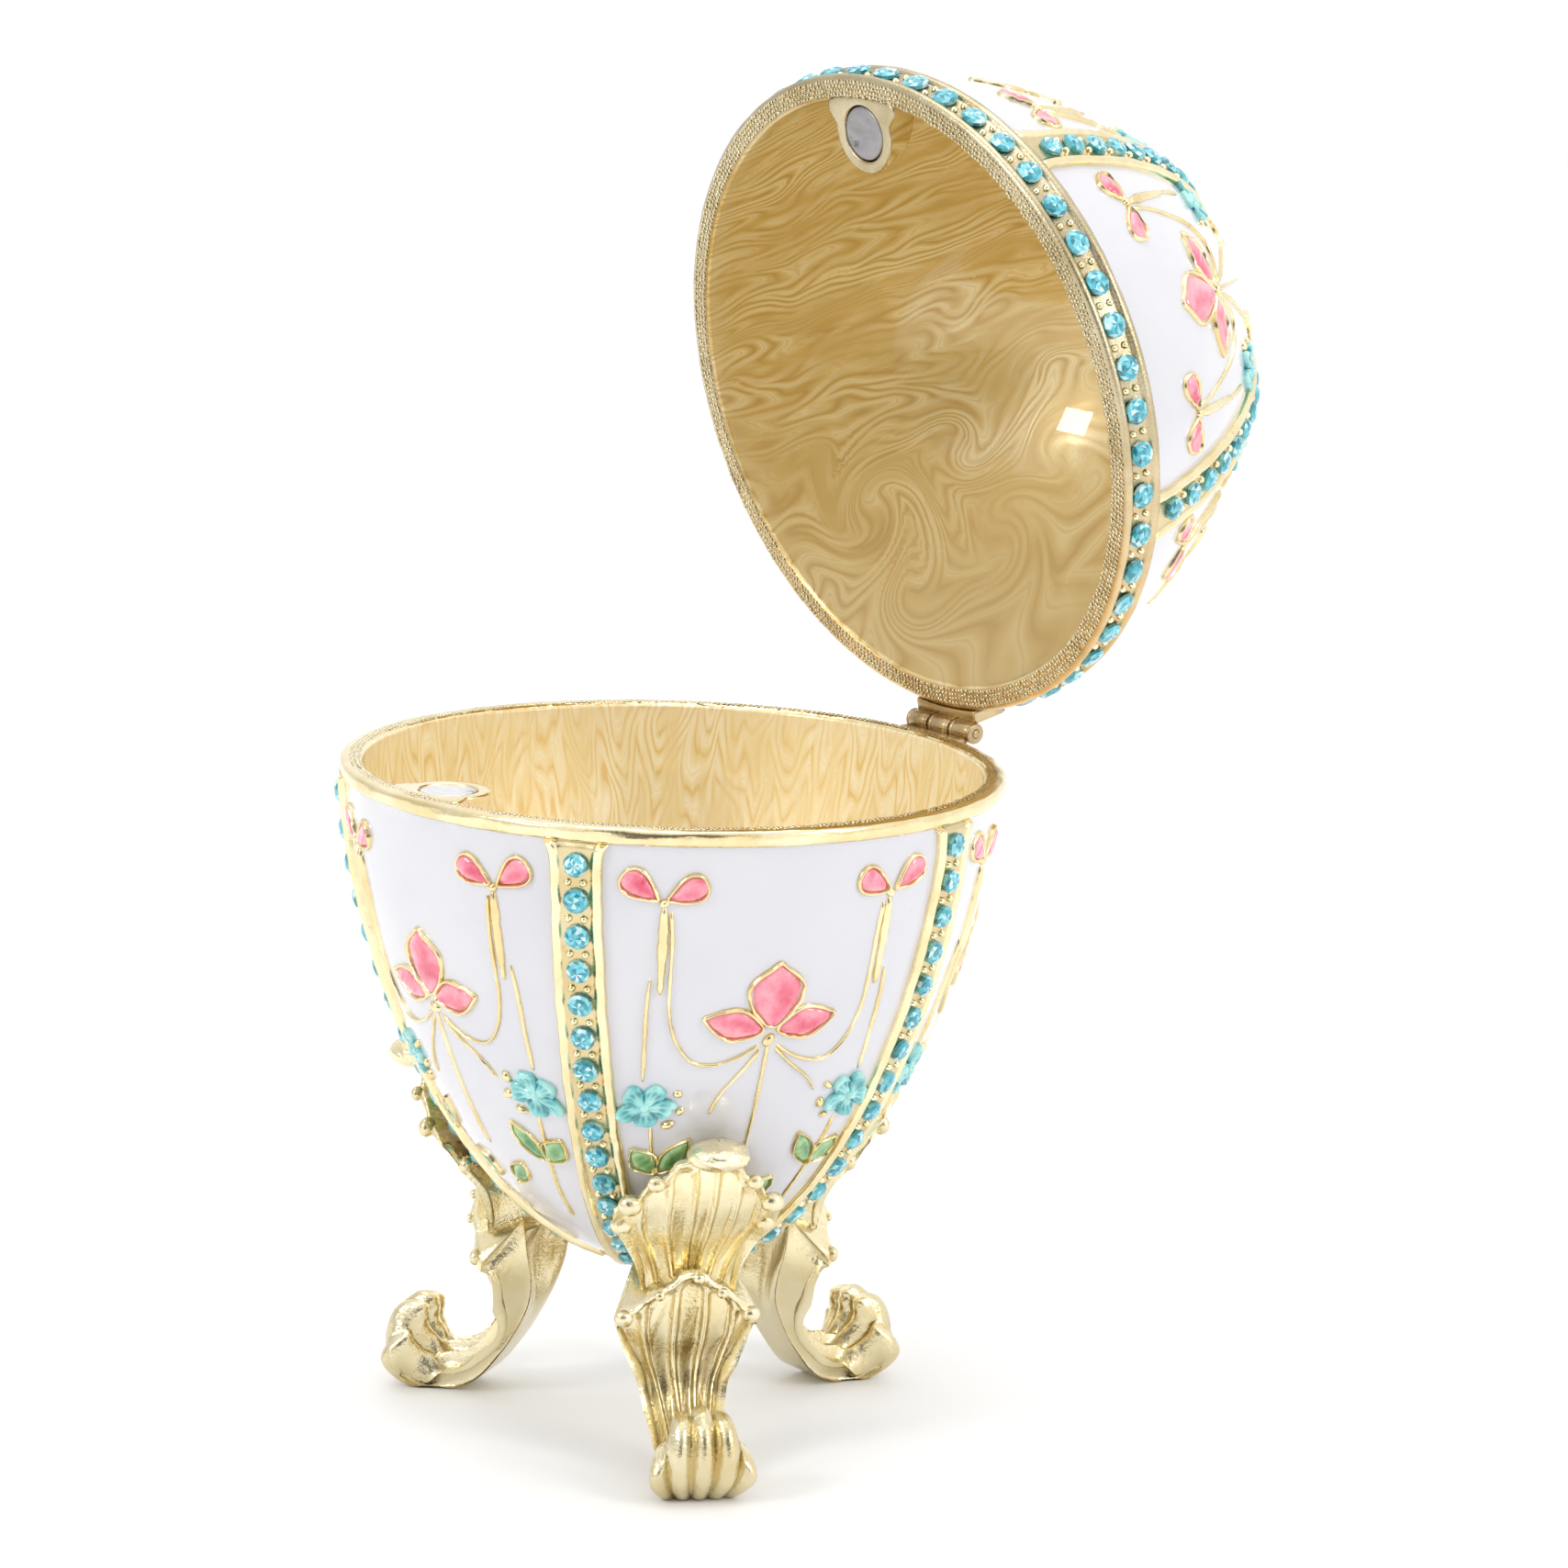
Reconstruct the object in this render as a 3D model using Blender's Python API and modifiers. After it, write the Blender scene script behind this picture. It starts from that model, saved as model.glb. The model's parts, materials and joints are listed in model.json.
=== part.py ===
"""Jewelled egg trinket box on three cast legs, with its hinged lid standing open.

The bowl and the lid are cast shells that share one egg outline. Raised stripes carry rows of
glass stones, three scroll legs are soldered under the bowl, and a three-knuckle hinge joins the
halves at the back (+Y). Magnets sit in lugs at the front (-Y). Everything is modelled closed on
the egg's own axis with the rim at z = 0. The lid then swings open about the hinge pin, and the
whole box is set down with the middle of its footprint at the world origin.
"""
import math
from collections import namedtuple

import bmesh
import bpy
import numpy as np
from mathutils import Matrix, Vector

MM = 0.001

# Driving dimensions, in millimetres.
RIM_RADIUS = 30.0            # outer radius of the bowl's rim
WALL = 2.0                   # wall of the casting at the rim
ENAMEL_STEP = 0.4            # the enamel lies this far inside the rim band
BAND_STEP = 0.2              # length of the step from the rim band down to the enamel
BOWL_DEPTH = 46.3            # rim to lowest point
LID_HEIGHT = 35.2            # lid's rim to its crown
LID_CLEARANCE = 0.3          # between the closed rims
FLOOR_Z = -61.5              # underside of the feet
OPEN_ANGLE = 77.0            # degrees from closed to the hinge's stop
MESH_GAP = 0.3               # between soldered or cemented pieces

PANELS = 5                   # enamel panels, with a jewelled stripe between neighbours
STRIPE_WIDTH = 4.5
STRIPE_RISE = 0.3            # floor of the stone channel above the enamel
STRIPE_BODY = 1.0            # thickness of a stripe's solid, most of it sunk in the wall
STRIPE_START = 1.6           # from the bowl's rim
STRIPE_START_LOW = 5.4       # from the lid's rim, and below the hinge
REAR_STRIPE_DEPTH = 26.0     # where the bowl's rear stripe ends, above the rear leg
POLE_DISC_RADIUS = 6.0       # plain disc where the stripes meet
STRIPE_TUCK = 1.0            # length of a stripe's end under the disc

STONE_PITCH = 3.3            # along the stripes
STRIPE_STONE_RADIUS = 1.18
RIM_STONE_RADIUS = 1.3
RIM_STONES = 48              # places round the lid; the hinge takes two of them
TABLE_SHARE = 0.62           # a stone's flat top against its girdle
BED_SHARE = 0.4              # the cement bed's width against the girdle
BED_LOW = 0.5                # cement bed above the enamel, bottom and top
BED_HIGH = 0.7
STONE_TOP = 1.05             # above the enamel

HINGE_Y = 32.2               # pin axis, behind the rim
HINGE_Z = 0.15               # half-way between the closed rims
KNUCKLE_RADIUS = 1.0
BORE_RADIUS = 0.5
PIN_RADIUS = 0.4
BARREL_LENGTH = 9.0
KNUCKLE_GAP = 0.2

MAGNET_RADIUS = 2.5
MAGNET_THICKNESS = 1.9
LUG_RADIUS = 3.7
LUG_DEPTH = 3.2
LUG_Y = -24.9

LEG_ANGLES = {"leg_rear": 90.0, "leg_front_left": 210.0, "leg_front_right": 332.0}
SHELL_STEPS = 32
STRIPE_STEPS = 8
CUT_OVERRUN = 1.0            # cutters reach this far past the face that they open

Half = namedtuple("Half", "name height rim_power pole_power side base")
BOWL = Half("bowl", BOWL_DEPTH, 1.61, 2.0, -1, 0.0)
LID = Half("lid", LID_HEIGHT, 1.59, 2.2, 1, LID_CLEARANCE)

GOLD = (0.83, 0.63, 0.30)
GLASS_BLUE = (0.10, 0.55, 0.68)
BRASS = (0.45, 0.32, 0.19)


# --- scene helpers -------------------------------------------------------------------------

def clear_scene():
    """Remove every object that the file opened with."""
    for item in list(bpy.data.objects):
        bpy.data.objects.remove(item, do_unlink=True)


def new_collection(name):
    """A collection linked to the scene."""
    group = bpy.data.collections.new(name)
    bpy.context.scene.collection.children.link(group)
    return group


def finish(name, colour, roughness, metallic, transmission=0.0):
    """A Principled material with plain values."""
    material = bpy.data.materials.new(name)
    material.use_nodes = True
    shader = material.node_tree.nodes["Principled BSDF"]
    shader.inputs["Base Color"].default_value = (*colour, 1.0)
    shader.inputs["Roughness"].default_value = roughness
    shader.inputs["Metallic"].default_value = metallic
    shader.inputs["Transmission Weight"].default_value = transmission
    return material


def add_mesh(name, bm, group, material=None):
    """Turn a bmesh into an object in a collection, with sizes in metres."""
    bmesh.ops.scale(bm, vec=(MM, MM, MM), verts=bm.verts)
    mesh = bpy.data.meshes.new(name)
    bm.to_mesh(mesh)
    bm.free()
    item = bpy.data.objects.new(name, mesh)
    group.objects.link(item)
    if material:
        mesh.materials.append(material)
    return item


def hide_tool(item):
    """Mark an object as a cutter or guide."""
    item.hide_render = True
    item.display_type = "WIRE"
    return item


def combine(item, tool, operation):
    """Boolean the tool into the item."""
    modifier = item.modifiers.new(tool.name, "BOOLEAN")
    modifier.object = tool
    modifier.operation = operation
    modifier.solver = "EXACT"


def smooth(item, angle=40.0):
    """Shade round, with sharp edges kept."""
    item.data.shade_smooth()
    item.data.set_sharp_from_angle(angle=math.radians(angle))


# --- the egg outline -----------------------------------------------------------------------

def egg_point(half, turn, rise=0.0):
    """Meridian point (radius, z) at turn 0 (rim) to pi/2 (pole), moved out by rise.

    The outline is a superellipse: radius = R cos(turn)^(2/b), z = H sin(turn)^(2/a).
    """
    radius = RIM_RADIUS - ENAMEL_STEP
    cos, sin = max(math.cos(turn), 1e-9), max(math.sin(turn), 1e-9)
    r = radius * cos ** (2 / half.pole_power)
    z = half.height * sin ** (2 / half.rim_power)
    dr = -radius * 2 / half.pole_power * cos ** (2 / half.pole_power - 1) * sin
    dz = half.height * 2 / half.rim_power * sin ** (2 / half.rim_power - 1) * cos
    length = math.hypot(dr, dz)
    return r + rise * dz / length, half.base + half.side * (z - rise * dr / length)


def turn_at_depth(half, depth):
    """The meridian turn whose point is this far from the rim plane."""
    return math.asin((depth / half.height) ** (half.rim_power / 2))


def turn_at_radius(half, radius):
    """The meridian turn whose point has this radius."""
    share = radius / (RIM_RADIUS - ENAMEL_STEP)
    return math.acos(share ** (half.pole_power / 2))


def inner_point(half, turn):
    """The inner wall, the same outline made smaller by the wall."""
    r = (RIM_RADIUS - WALL) * max(math.cos(turn), 0.0) ** (2 / half.pole_power)
    z = (half.height - WALL) * math.sin(turn) ** (2 / half.rim_power)
    return r, half.base + half.side * z


def shell_profile(half, rim_band, outer_rings, inner_rings):
    """Inner pole, up the inner wall, over the rim, down the outer side, outer pole."""
    points = [(0.0, half.base + half.side * (half.height - WALL))]
    for step in range(1, inner_rings + 1):
        points.append(inner_point(half, math.pi / 2 * (1 - step / inner_rings)))
    points += rim_band
    band_height = abs(rim_band[-1][1] - half.base)
    start = turn_at_depth(half, band_height + BAND_STEP)
    stop = turn_at_radius(half, POLE_DISC_RADIUS)
    for step in range(outer_rings + 1):
        points.append(egg_point(half, start + (stop - start) * step / outer_rings))
    disc = turn_at_radius(half, POLE_DISC_RADIUS - STRIPE_RISE)
    points.append(egg_point(half, disc, STRIPE_RISE))
    points.append(egg_point(half, (disc + math.pi / 2) / 2, STRIPE_RISE))
    points.append((0.0, half.base + half.side * (half.height + STRIPE_RISE)))
    return points if half.side < 0 else points[::-1]


def turned(name, profile, group, material=None, steps=SHELL_STEPS):
    """A profile of (radius, z) points turned round the Z axis with a Screw modifier."""
    bm = bmesh.new()
    chain = [bm.verts.new((r, 0.0, z)) for r, z in profile]
    for first, second in zip(chain, chain[1:]):
        bm.edges.new((first, second))
    item = add_mesh(name, bm, group, material)
    screw = item.modifiers.new("turn", "SCREW")
    screw.steps = screw.render_steps = steps
    screw.use_merge_vertices = True
    screw.merge_threshold = 0.00001
    screw.use_smooth_shade = True
    return item


def add_ribbon(bm, half, width, height, start, stop, steps, azimuth):
    """A strip along a meridian: a chain of edges drawn out sideways by the width."""
    spin = Matrix.Rotation(math.radians(azimuth), 4, "Z")
    chain = []
    for step in range(steps + 1):
        r, z = egg_point(half, start + (stop - start) * step / steps, height)
        chain.append(bm.verts.new(spin @ Vector((r, -width / 2, z))))
    edges = [bm.edges.new(pair) for pair in zip(chain, chain[1:])]
    drawn = bmesh.ops.extrude_edge_only(bm, edges=edges)["geom"]
    moved = [vert for vert in drawn if isinstance(vert, bmesh.types.BMVert)]
    bmesh.ops.translate(bm, verts=moved, vec=spin @ Vector((0.0, width, 0.0)))


def thicken(item, thickness):
    """Give an open strip an even thickness to both sides."""
    solidify = item.modifiers.new("thickness", "SOLIDIFY")
    solidify.thickness = thickness * MM
    solidify.offset = 0.0
    solidify.use_even_offset = True


# --- bowl and lid --------------------------------------------------------------------------

def stripe_azimuths():
    """One stripe at the hinge and the others evenly round."""
    return [90.0 + 360.0 / PANELS * index for index in range(PANELS)]


def stripe_span(half, azimuth):
    """Where a stripe starts and stops; the bowl's rear one ends above the rear leg."""
    at_hinge = azimuth == 90.0
    start = turn_at_depth(half, STRIPE_START_LOW if at_hinge or half.side > 0 else STRIPE_START)
    stop = turn_at_radius(half, POLE_DISC_RADIUS - STRIPE_TUCK)
    if at_hinge and half.side < 0:
        stop = turn_at_depth(half, REAR_STRIPE_DEPTH)
    return start, stop


def raise_stripes(item, half, tools):
    """Union the raised stripes into a shell."""
    bm = bmesh.new()
    for azimuth in stripe_azimuths():
        start, stop = stripe_span(half, azimuth)
        middle = STRIPE_RISE - STRIPE_BODY / 2
        add_ribbon(bm, half, STRIPE_WIDTH, middle, start, stop, STRIPE_STEPS, azimuth)
    stripes = hide_tool(add_mesh(half.name + "_stripes", bm, tools))
    thicken(stripes, STRIPE_BODY)
    combine(item, stripes, "UNION")


def cylinder(bm, radius, top_radius, depth, centre, axis="Z", segments=20):
    """A capped cylinder or cone about a coordinate axis."""
    spin = {"Z": Matrix.Identity(4), "X": Matrix.Rotation(math.radians(90), 4, "Y")}[axis]
    bmesh.ops.create_cone(
        bm, cap_ends=True, segments=segments, radius1=radius, radius2=top_radius, depth=depth,
        matrix=Matrix.Translation(centre) @ spin)


def add_lug(item, half, tools):
    """Union the magnet's lug into a shell and cut its pocket."""
    low, high = half.base, half.base + half.side * LUG_DEPTH
    bm = bmesh.new()
    cylinder(bm, LUG_RADIUS, LUG_RADIUS, LUG_DEPTH, (0, LUG_Y, (low + high) / 2))
    lug = hide_tool(add_mesh(half.name + "_lug", bm, tools))
    combine(item, lug, "UNION")
    bm = bmesh.new()
    pocket_depth = MAGNET_THICKNESS + MESH_GAP
    centre = low + half.side * (pocket_depth - CUT_OVERRUN) / 2
    cylinder(bm, MAGNET_RADIUS + MESH_GAP, MAGNET_RADIUS + MESH_GAP,
             pocket_depth + CUT_OVERRUN, (0, LUG_Y, centre))
    pocket = hide_tool(add_mesh(half.name + "_pocket", bm, tools))
    combine(item, pocket, "DIFFERENCE")


def make_shell(half, rim_band, parts, tools, material):
    """One half of the egg: turned shell, raised stripes, magnet lug."""
    profile = shell_profile(half, rim_band, 8, 6)
    item = turned(half.name, profile, parts, material)
    raise_stripes(item, half, tools)
    add_lug(item, half, tools)
    return item


def bowl_rim_band():
    """Plain rounded gold rim of the bowl."""
    return [(RIM_RADIUS - 0.3, 0.0), (RIM_RADIUS, -0.3), (RIM_RADIUS, -1.25),
            (RIM_RADIUS - ENAMEL_STEP, -1.4)]


def lid_rim_band():
    """The lid's stone channel between two rails, from the rim upwards."""
    base = LID_CLEARANCE
    return [(RIM_RADIUS - 0.3, base), (RIM_RADIUS + 0.3, base + 0.4), (RIM_RADIUS + 0.3, base + 0.8),
            (RIM_RADIUS - 0.1, base + 1.0), (RIM_RADIUS - 0.1, base + 3.3),
            (RIM_RADIUS + 0.2, base + 3.5), (RIM_RADIUS + 0.1, base + 4.1),
            (RIM_RADIUS - ENAMEL_STEP, base + 4.3)]


# --- stones --------------------------------------------------------------------------------

def add_stone_chain(bm, frames, radius, table_height):
    """A row of stones on their cement bed, as one loft along the row.

    Each frame is (foot point, normal, direction along the row, run to the middle of the gap).
    A stone is one station with a wide girdle and a narrow raised table. The bed's low, narrow
    station lies half-way to the next stone.
    """
    rings = []
    for point, normal, ahead, gap in frames:
        side = ahead.cross(normal)
        stations = [(0.0, radius, radius * TABLE_SHARE, table_height),
                    (gap, radius * BED_SHARE, radius * BED_SHARE, BED_HIGH)]
        if not rings:
            stations.insert(0, (-gap, radius * BED_SHARE, radius * BED_SHARE, BED_HIGH))
        for run, half_low, half_top, high in stations:
            foot = point + ahead * run
            corners = [(-half_low, BED_LOW), (half_low, BED_LOW), (half_top, high),
                       (-half_top, high)]
            rings.append([bm.verts.new(foot + side * across + normal * up)
                          for across, up in corners])
    for first, second in zip(rings, rings[1:]):
        for index in range(4):
            other = (index + 1) % 4
            bm.faces.new((first[index], second[index], second[other], first[other]))
    bm.faces.new(rings[0])
    bm.faces.new(rings[-1][::-1])


def stripe_stone_turns(half, azimuth):
    """Evenly pitched places along a stripe, worked out along the meridian."""
    start, stop = stripe_span(half, azimuth)
    turns = np.linspace(start, stop, 400)
    track = np.array([egg_point(half, turn) for turn in turns])
    run = np.concatenate([[0.0], np.cumsum(np.hypot(*np.diff(track, axis=0).T))])
    ends = STRIPE_STONE_RADIUS + 0.6
    return [float(np.interp(place, run, turns))
            for place in np.arange(ends, run[-1] - ends, STONE_PITCH)]


def make_stripe_row(half, azimuth, index, parts, material):
    """One stripe's row of stones, held together by the cement that they are set in."""
    spin = Matrix.Rotation(math.radians(azimuth), 3, "Z")
    frames = []
    for turn in stripe_stone_turns(half, azimuth):
        r, z = egg_point(half, turn)
        outer_r, outer_z = egg_point(half, turn, 1.0)
        normal = Vector((outer_r - r, 0.0, outer_z - z))
        ahead = Vector((-normal.z, 0.0, normal.x)) * half.side
        frames.append((spin @ Vector((r, 0.0, z)), spin @ normal, spin @ ahead,
                       STONE_PITCH / 2))
    bm = bmesh.new()
    add_stone_chain(bm, frames, STRIPE_STONE_RADIUS, STONE_TOP)
    return add_mesh("%s_stone_row_%d" % (half.name, index), bm, parts, material)


def make_rim_row(parts, material):
    """The stones round the lid's rim, with a break at the hinge."""
    foot_radius = RIM_RADIUS - 0.3
    middle_z = LID_CLEARANCE + 2.15
    step = 360.0 / RIM_STONES
    gap = foot_radius * math.tan(math.radians(step / 2))
    frames = []
    for index in range(1, RIM_STONES - 1):
        angle = math.radians(90.0 + step * (index + 0.5))
        normal = Vector((math.cos(angle), math.sin(angle), 0.0))
        ahead = Vector((-normal.y, normal.x, 0.0))
        frames.append((normal * foot_radius + Vector((0.0, 0.0, middle_z)), normal, ahead, gap))
    bm = bmesh.new()
    add_stone_chain(bm, frames, RIM_STONE_RADIUS, STONE_TOP)
    return add_mesh("lid_rim_stones", bm, parts, material)


# --- legs ----------------------------------------------------------------------------------

# Stations down the upper leaf: outer (r, z), outer and inner half-width, flute depth.
UPPER_LEAF = np.array([
    (22.4, -28.8, 7.0, 3.6, 0.15),
    (23.1, -30.8, 7.3, 3.9, 0.40),
    (23.2, -32.8, 7.4, 4.0, 0.55),
    (22.2, -35.4, 7.5, 3.9, 0.60),
    (20.0, -38.3, 7.2, 3.4, 0.60),
    (17.8, -41.0, 5.8, 2.9, 0.50),
    (16.6, -43.6, 4.6, 2.6, 0.35),
    (15.9, -46.8, 4.0, 2.6, 0.20)])
UPPER_FLUTES = 7
UPPER_SHOULDER = 0.46        # share of the leaf's length that its edges start lower
UPPER_SEAT = (28.4, 43.4)    # where the leaf's back meets the bowl, below the rim

# Stations down the strap: outer (r, z), inner (r, z), outer and inner half-width, flute depth,
# hollow of the back, lobe depth of the back, shrink of the outer lobes.
STRAP = np.array([
    (18.0, -42.2, 11.6, -43.3, 5.8, 4.4, 0.2, 0.0, 0.0, 0.0),
    (17.6, -44.6, 11.2, -45.2, 6.4, 4.8, 0.5, 1.0, 0.0, 0.0),
    (17.1, -46.9, 11.0, -47.0, 6.8, 4.7, 0.6, 2.0, 0.0, 0.0),
    (16.3, -49.2, 11.0, -49.2, 6.6, 3.9, 0.6, 1.8, 0.0, 0.0),
    (15.3, -51.4, 11.6, -51.8, 5.7, 2.9, 0.6, 0.8, 0.0, 0.0),
    (15.6, -53.7, 12.8, -54.4, 4.4, 2.5, 0.6, 0.0, 0.0, 0.0),
    (16.9, -55.6, 14.6, -57.3, 3.6, 2.4, 0.6, 0.0, 0.0, 0.0),
    (18.6, -56.8, 17.2, -60.3, 3.2, 2.5, 0.6, 0.0, 0.0, 0.0),
    (20.2, -57.0, 20.4, -61.6, 3.1, 2.4, 0.6, 0.0, 0.2, 0.0),
    (21.2, -56.5, 23.3, -61.7, 3.6, 3.5, 0.5, 0.0, 0.3, 0.06),
    (21.8, -55.8, 25.4, -59.8, 4.5, 5.1, 0.5, 0.0, 0.8, 0.12),
    (22.0, -55.2, 26.0, -57.2, 4.9, 5.6, 0.6, 0.0, 1.1, 0.14),
    (21.9, -54.5, 25.3, -54.7, 4.8, 5.2, 0.7, 0.0, 1.1, 0.16),
    (22.2, -53.8, 23.7, -53.2, 4.5, 4.8, 0.5, 0.0, 0.7, 0.20)])
STRAP_FLUTES = 5
STRAP_SHOULDER = 0.24
SHOULDER_END = 0.45          # the strap's sections are level again from here on
CURL_CENTRE = np.array([22.9, -57.4])

LEAF_CROWNS = (3.2, 1.2)     # the upper leaf's edges turn back by this much, top and bottom
STRAP_CROWN = 2.9            # and the strap's at its top, less and less down to the ankle
CROWN_END = 0.5
TOE_CROWN = 0.6              # from there on they turn back by this share of the thickness
OUTER_SHORT = 0.32           # the outer lobes end this share of the strap's length earlier
SHOULDER_POWER = 1.5         # how square a leaf's shoulders are
SCALLOP = 0.04               # the valleys between flutes end this much lower
KNOB_CENTRE = (24.5, 0.6, -29.9)
KNOB_RADII = (2.6, 2.8, 1.4)


def sample(stations, shares):
    """Read smooth stations at shares 0 to 1: a Catmull-Rom curve through the rows."""
    rows = np.vstack([2 * stations[0] - stations[1], stations, 2 * stations[-1] - stations[-2]])
    place = np.clip(shares, 0, 1) * (len(stations) - 1)
    index = np.minimum(place.astype(int), len(stations) - 2)
    part = (place - index)[:, None]
    a, b, c, d = (rows[index + shift] for shift in range(4))
    return 0.5 * (2 * b + (c - a) * part + (2 * a - 5 * b + 4 * c - d) * part ** 2
                  + (3 * b - a - 3 * c + d) * part ** 3)


def ease(value):
    """0 below 0, 1 above 1, and 3v^2 - 2v^3 between."""
    value = np.clip(value, 0, 1)
    return value * value * (3 - 2 * value)


def ridges(flutes, across):
    """1 on the crest of each flute and 0 in the valleys."""
    return (np.cos(math.pi * flutes * across) + 1) / 2


def shoulder(flutes, drop, across):
    """How far down the leaf each column starts: pointed in the middle, with scallops."""
    return drop * np.abs(across) ** SHOULDER_POWER + SCALLOP * (1 - ridges(flutes, across))


def unit(vectors):
    """Rows of vectors at length 1."""
    return vectors / np.linalg.norm(vectors, axis=1)[:, None]


def leaf_section(share, across):
    """One closed section of the upper leaf, as rows of (x, r, z)."""
    drop = shoulder(UPPER_FLUTES, UPPER_SHOULDER, across)
    shares = drop + (1 - drop) * share
    rows = sample(UPPER_LEAF, shares)
    turns = [turn_at_depth(BOWL, depth) for depth in UPPER_SEAT]
    back = np.array([egg_point(BOWL, turn, MESH_GAP) for turn in np.interp(shares, (0, 1), turns)])
    out = unit(rows[:, 0:2] - back)
    top, bottom = LEAF_CROWNS
    crown = top + (bottom - top) * ease(shares * 1.6 - 0.6)
    lift = rows[:, 4] * (ridges(UPPER_FLUTES, across) - 1) - crown * across ** 2
    face = rows[:, 0:2] + out * lift[:, None]
    front = np.column_stack([across * rows[:, 2], face])
    rear = np.column_stack([across * rows[:, 3], back])
    return np.vstack([front, rear[::-1]])


def strap_section(share, across):
    """One closed section of the strap and toe, as rows of (x, r, z)."""
    drop = shoulder(STRAP_FLUTES, STRAP_SHOULDER, across) * max(0.0, 1 - share / SHOULDER_END)
    short = OUTER_SHORT * np.minimum(np.abs(across), 0.85) ** 2.6 * ease((share - 0.55) / 0.45)
    rows = sample(STRAP, share * (1 - short) + drop)
    level = sample(STRAP, share * (1 - short))
    rows[:, 2:4] = level[:, 2:4]
    rows[:, 5] = level[:, 5]
    out = unit(rows[:, 0:2] - rows[:, 2:4])
    crest = ridges(STRAP_FLUTES, across)
    thick = np.linalg.norm(rows[:, 0:2] - rows[:, 2:4], axis=1)
    crown = (STRAP_CROWN * max(0.0, 1 - share / CROWN_END)
             + TOE_CROWN * thick * ease((share - 0.25) / 0.2))
    lift = rows[:, 6] * (crest - 1) - crown * across ** 2
    face = rows[:, 0:2] + out * lift[:, None]
    sink = rows[:, 7] * (1 - across ** 2) + rows[:, 8] * (0.5 - crest)
    back = rows[:, 2:4] + out * sink[:, None]
    shrink = (1 - rows[:, 9] * across ** 2)[:, None]
    face = CURL_CENTRE + (face - CURL_CENTRE) * shrink
    back = CURL_CENTRE + (back - CURL_CENTRE) * shrink
    front = np.column_stack([across * rows[:, 4], face])
    rear = np.column_stack([across * rows[:, 5], back])
    return np.vstack([front, rear[::-1]])


def add_loft(bm, sections):
    """Join equal sections into one closed body; its ends are closed strip by strip."""
    rings = [[bm.verts.new((r, x, max(z, FLOOR_Z))) for x, r, z in section]
             for section in sections]
    count = len(rings[0])
    for upper, lower in zip(rings, rings[1:]):
        for index in range(count):
            other = (index + 1) % count
            bm.faces.new((upper[index], lower[index], lower[other], upper[other]))
    for index in range(count // 2 - 1):
        mirror = count - 1 - index
        for ring, order in ((rings[0], 1), (rings[-1], -1)):
            corners = (ring[index], ring[index + 1], ring[mirror - 1], ring[mirror])
            bm.faces.new(corners[::order])


def make_leg(name, azimuth, parts, tools, material):
    """One cast leg: strap with its toe, upper leaf and knob, turned to its place."""
    columns = np.linspace(-1, 1, 2 * STRAP_FLUTES + 1)
    bm = bmesh.new()
    add_loft(bm, [strap_section(share, columns) for share in np.linspace(0, 1, 15)])
    leg = add_mesh(name, bm, parts, material)
    columns = np.linspace(-1, 1, 2 * UPPER_FLUTES + 1)
    bm = bmesh.new()
    add_loft(bm, [leaf_section(share, columns) for share in np.linspace(0, 1, 7)])
    leaf = hide_tool(add_mesh(name + "_upper_leaf", bm, tools))
    combine(leg, leaf, "UNION")
    bm = bmesh.new()
    bmesh.ops.create_uvsphere(bm, u_segments=8, v_segments=5, radius=1.0,
                              matrix=Matrix.Translation(KNOB_CENTRE)
                              @ Matrix.Diagonal((*KNOB_RADII, 1.0)))
    knob = hide_tool(add_mesh(name + "_knob", bm, tools))
    combine(leg, knob, "UNION")
    for item in (leg, leaf, knob):
        item.rotation_euler.z = math.radians(azimuth)
    return leg


# --- hinge and magnets ---------------------------------------------------------------------

def knuckle_spans(middle):
    """The x ranges of the middle knuckle, or of the two outer ones."""
    third = BARREL_LENGTH / 3
    if middle:
        return [(-third / 2 + KNUCKLE_GAP / 2, third / 2 - KNUCKLE_GAP / 2)]
    reach = BARREL_LENGTH / 2
    return [(-reach, -third / 2 - KNUCKLE_GAP / 2), (third / 2 + KNUCKLE_GAP / 2, reach)]


def barrel_tool(name, radius, spans, tools, segments=14):
    """Cylinders along the pin's axis."""
    bm = bmesh.new()
    for left, right in spans:
        cylinder(bm, radius, radius, right - left, ((left + right) / 2, HINGE_Y, HINGE_Z), "X",
                 segments)
    return hide_tool(add_mesh(name, bm, tools))


def make_hinge_leaf(name, side, middle, parts, tools, material):
    """A leaf curved to the rim, with its knuckles, drilled for the pin."""
    width, height, foot, back = 8.4, 3.9, 28.6, 31.5
    bm = bmesh.new()
    centre = (0, (foot + back) / 2, HINGE_Z + side * (0.35 + height / 2))
    bmesh.ops.create_cube(bm, size=1.0, matrix=Matrix.Translation(centre)
                          @ Matrix.Diagonal((width, back - foot, height, 1.0)))
    leaf = add_mesh(name, bm, parts, material)
    bm = bmesh.new()
    cylinder(bm, RIM_RADIUS + 0.6, RIM_RADIUS + 0.6, 12.0, (0, 0, HINGE_Z), "Z", 96)
    combine(leaf, hide_tool(add_mesh(name + "_seat", bm, tools)), "DIFFERENCE")
    room = KNUCKLE_GAP / 2
    far = [(left - room, right + room) for left, right in knuckle_spans(not middle)]
    combine(leaf, barrel_tool(name + "_room", KNUCKLE_RADIUS + MESH_GAP, far, tools), "DIFFERENCE")
    own = knuckle_spans(middle)
    combine(leaf, barrel_tool(name + "_knuckles", KNUCKLE_RADIUS, own, tools), "UNION")
    through = [(-BARREL_LENGTH, BARREL_LENGTH)]
    combine(leaf, barrel_tool(name + "_bore", BORE_RADIUS, through, tools), "DIFFERENCE")
    return leaf


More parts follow.
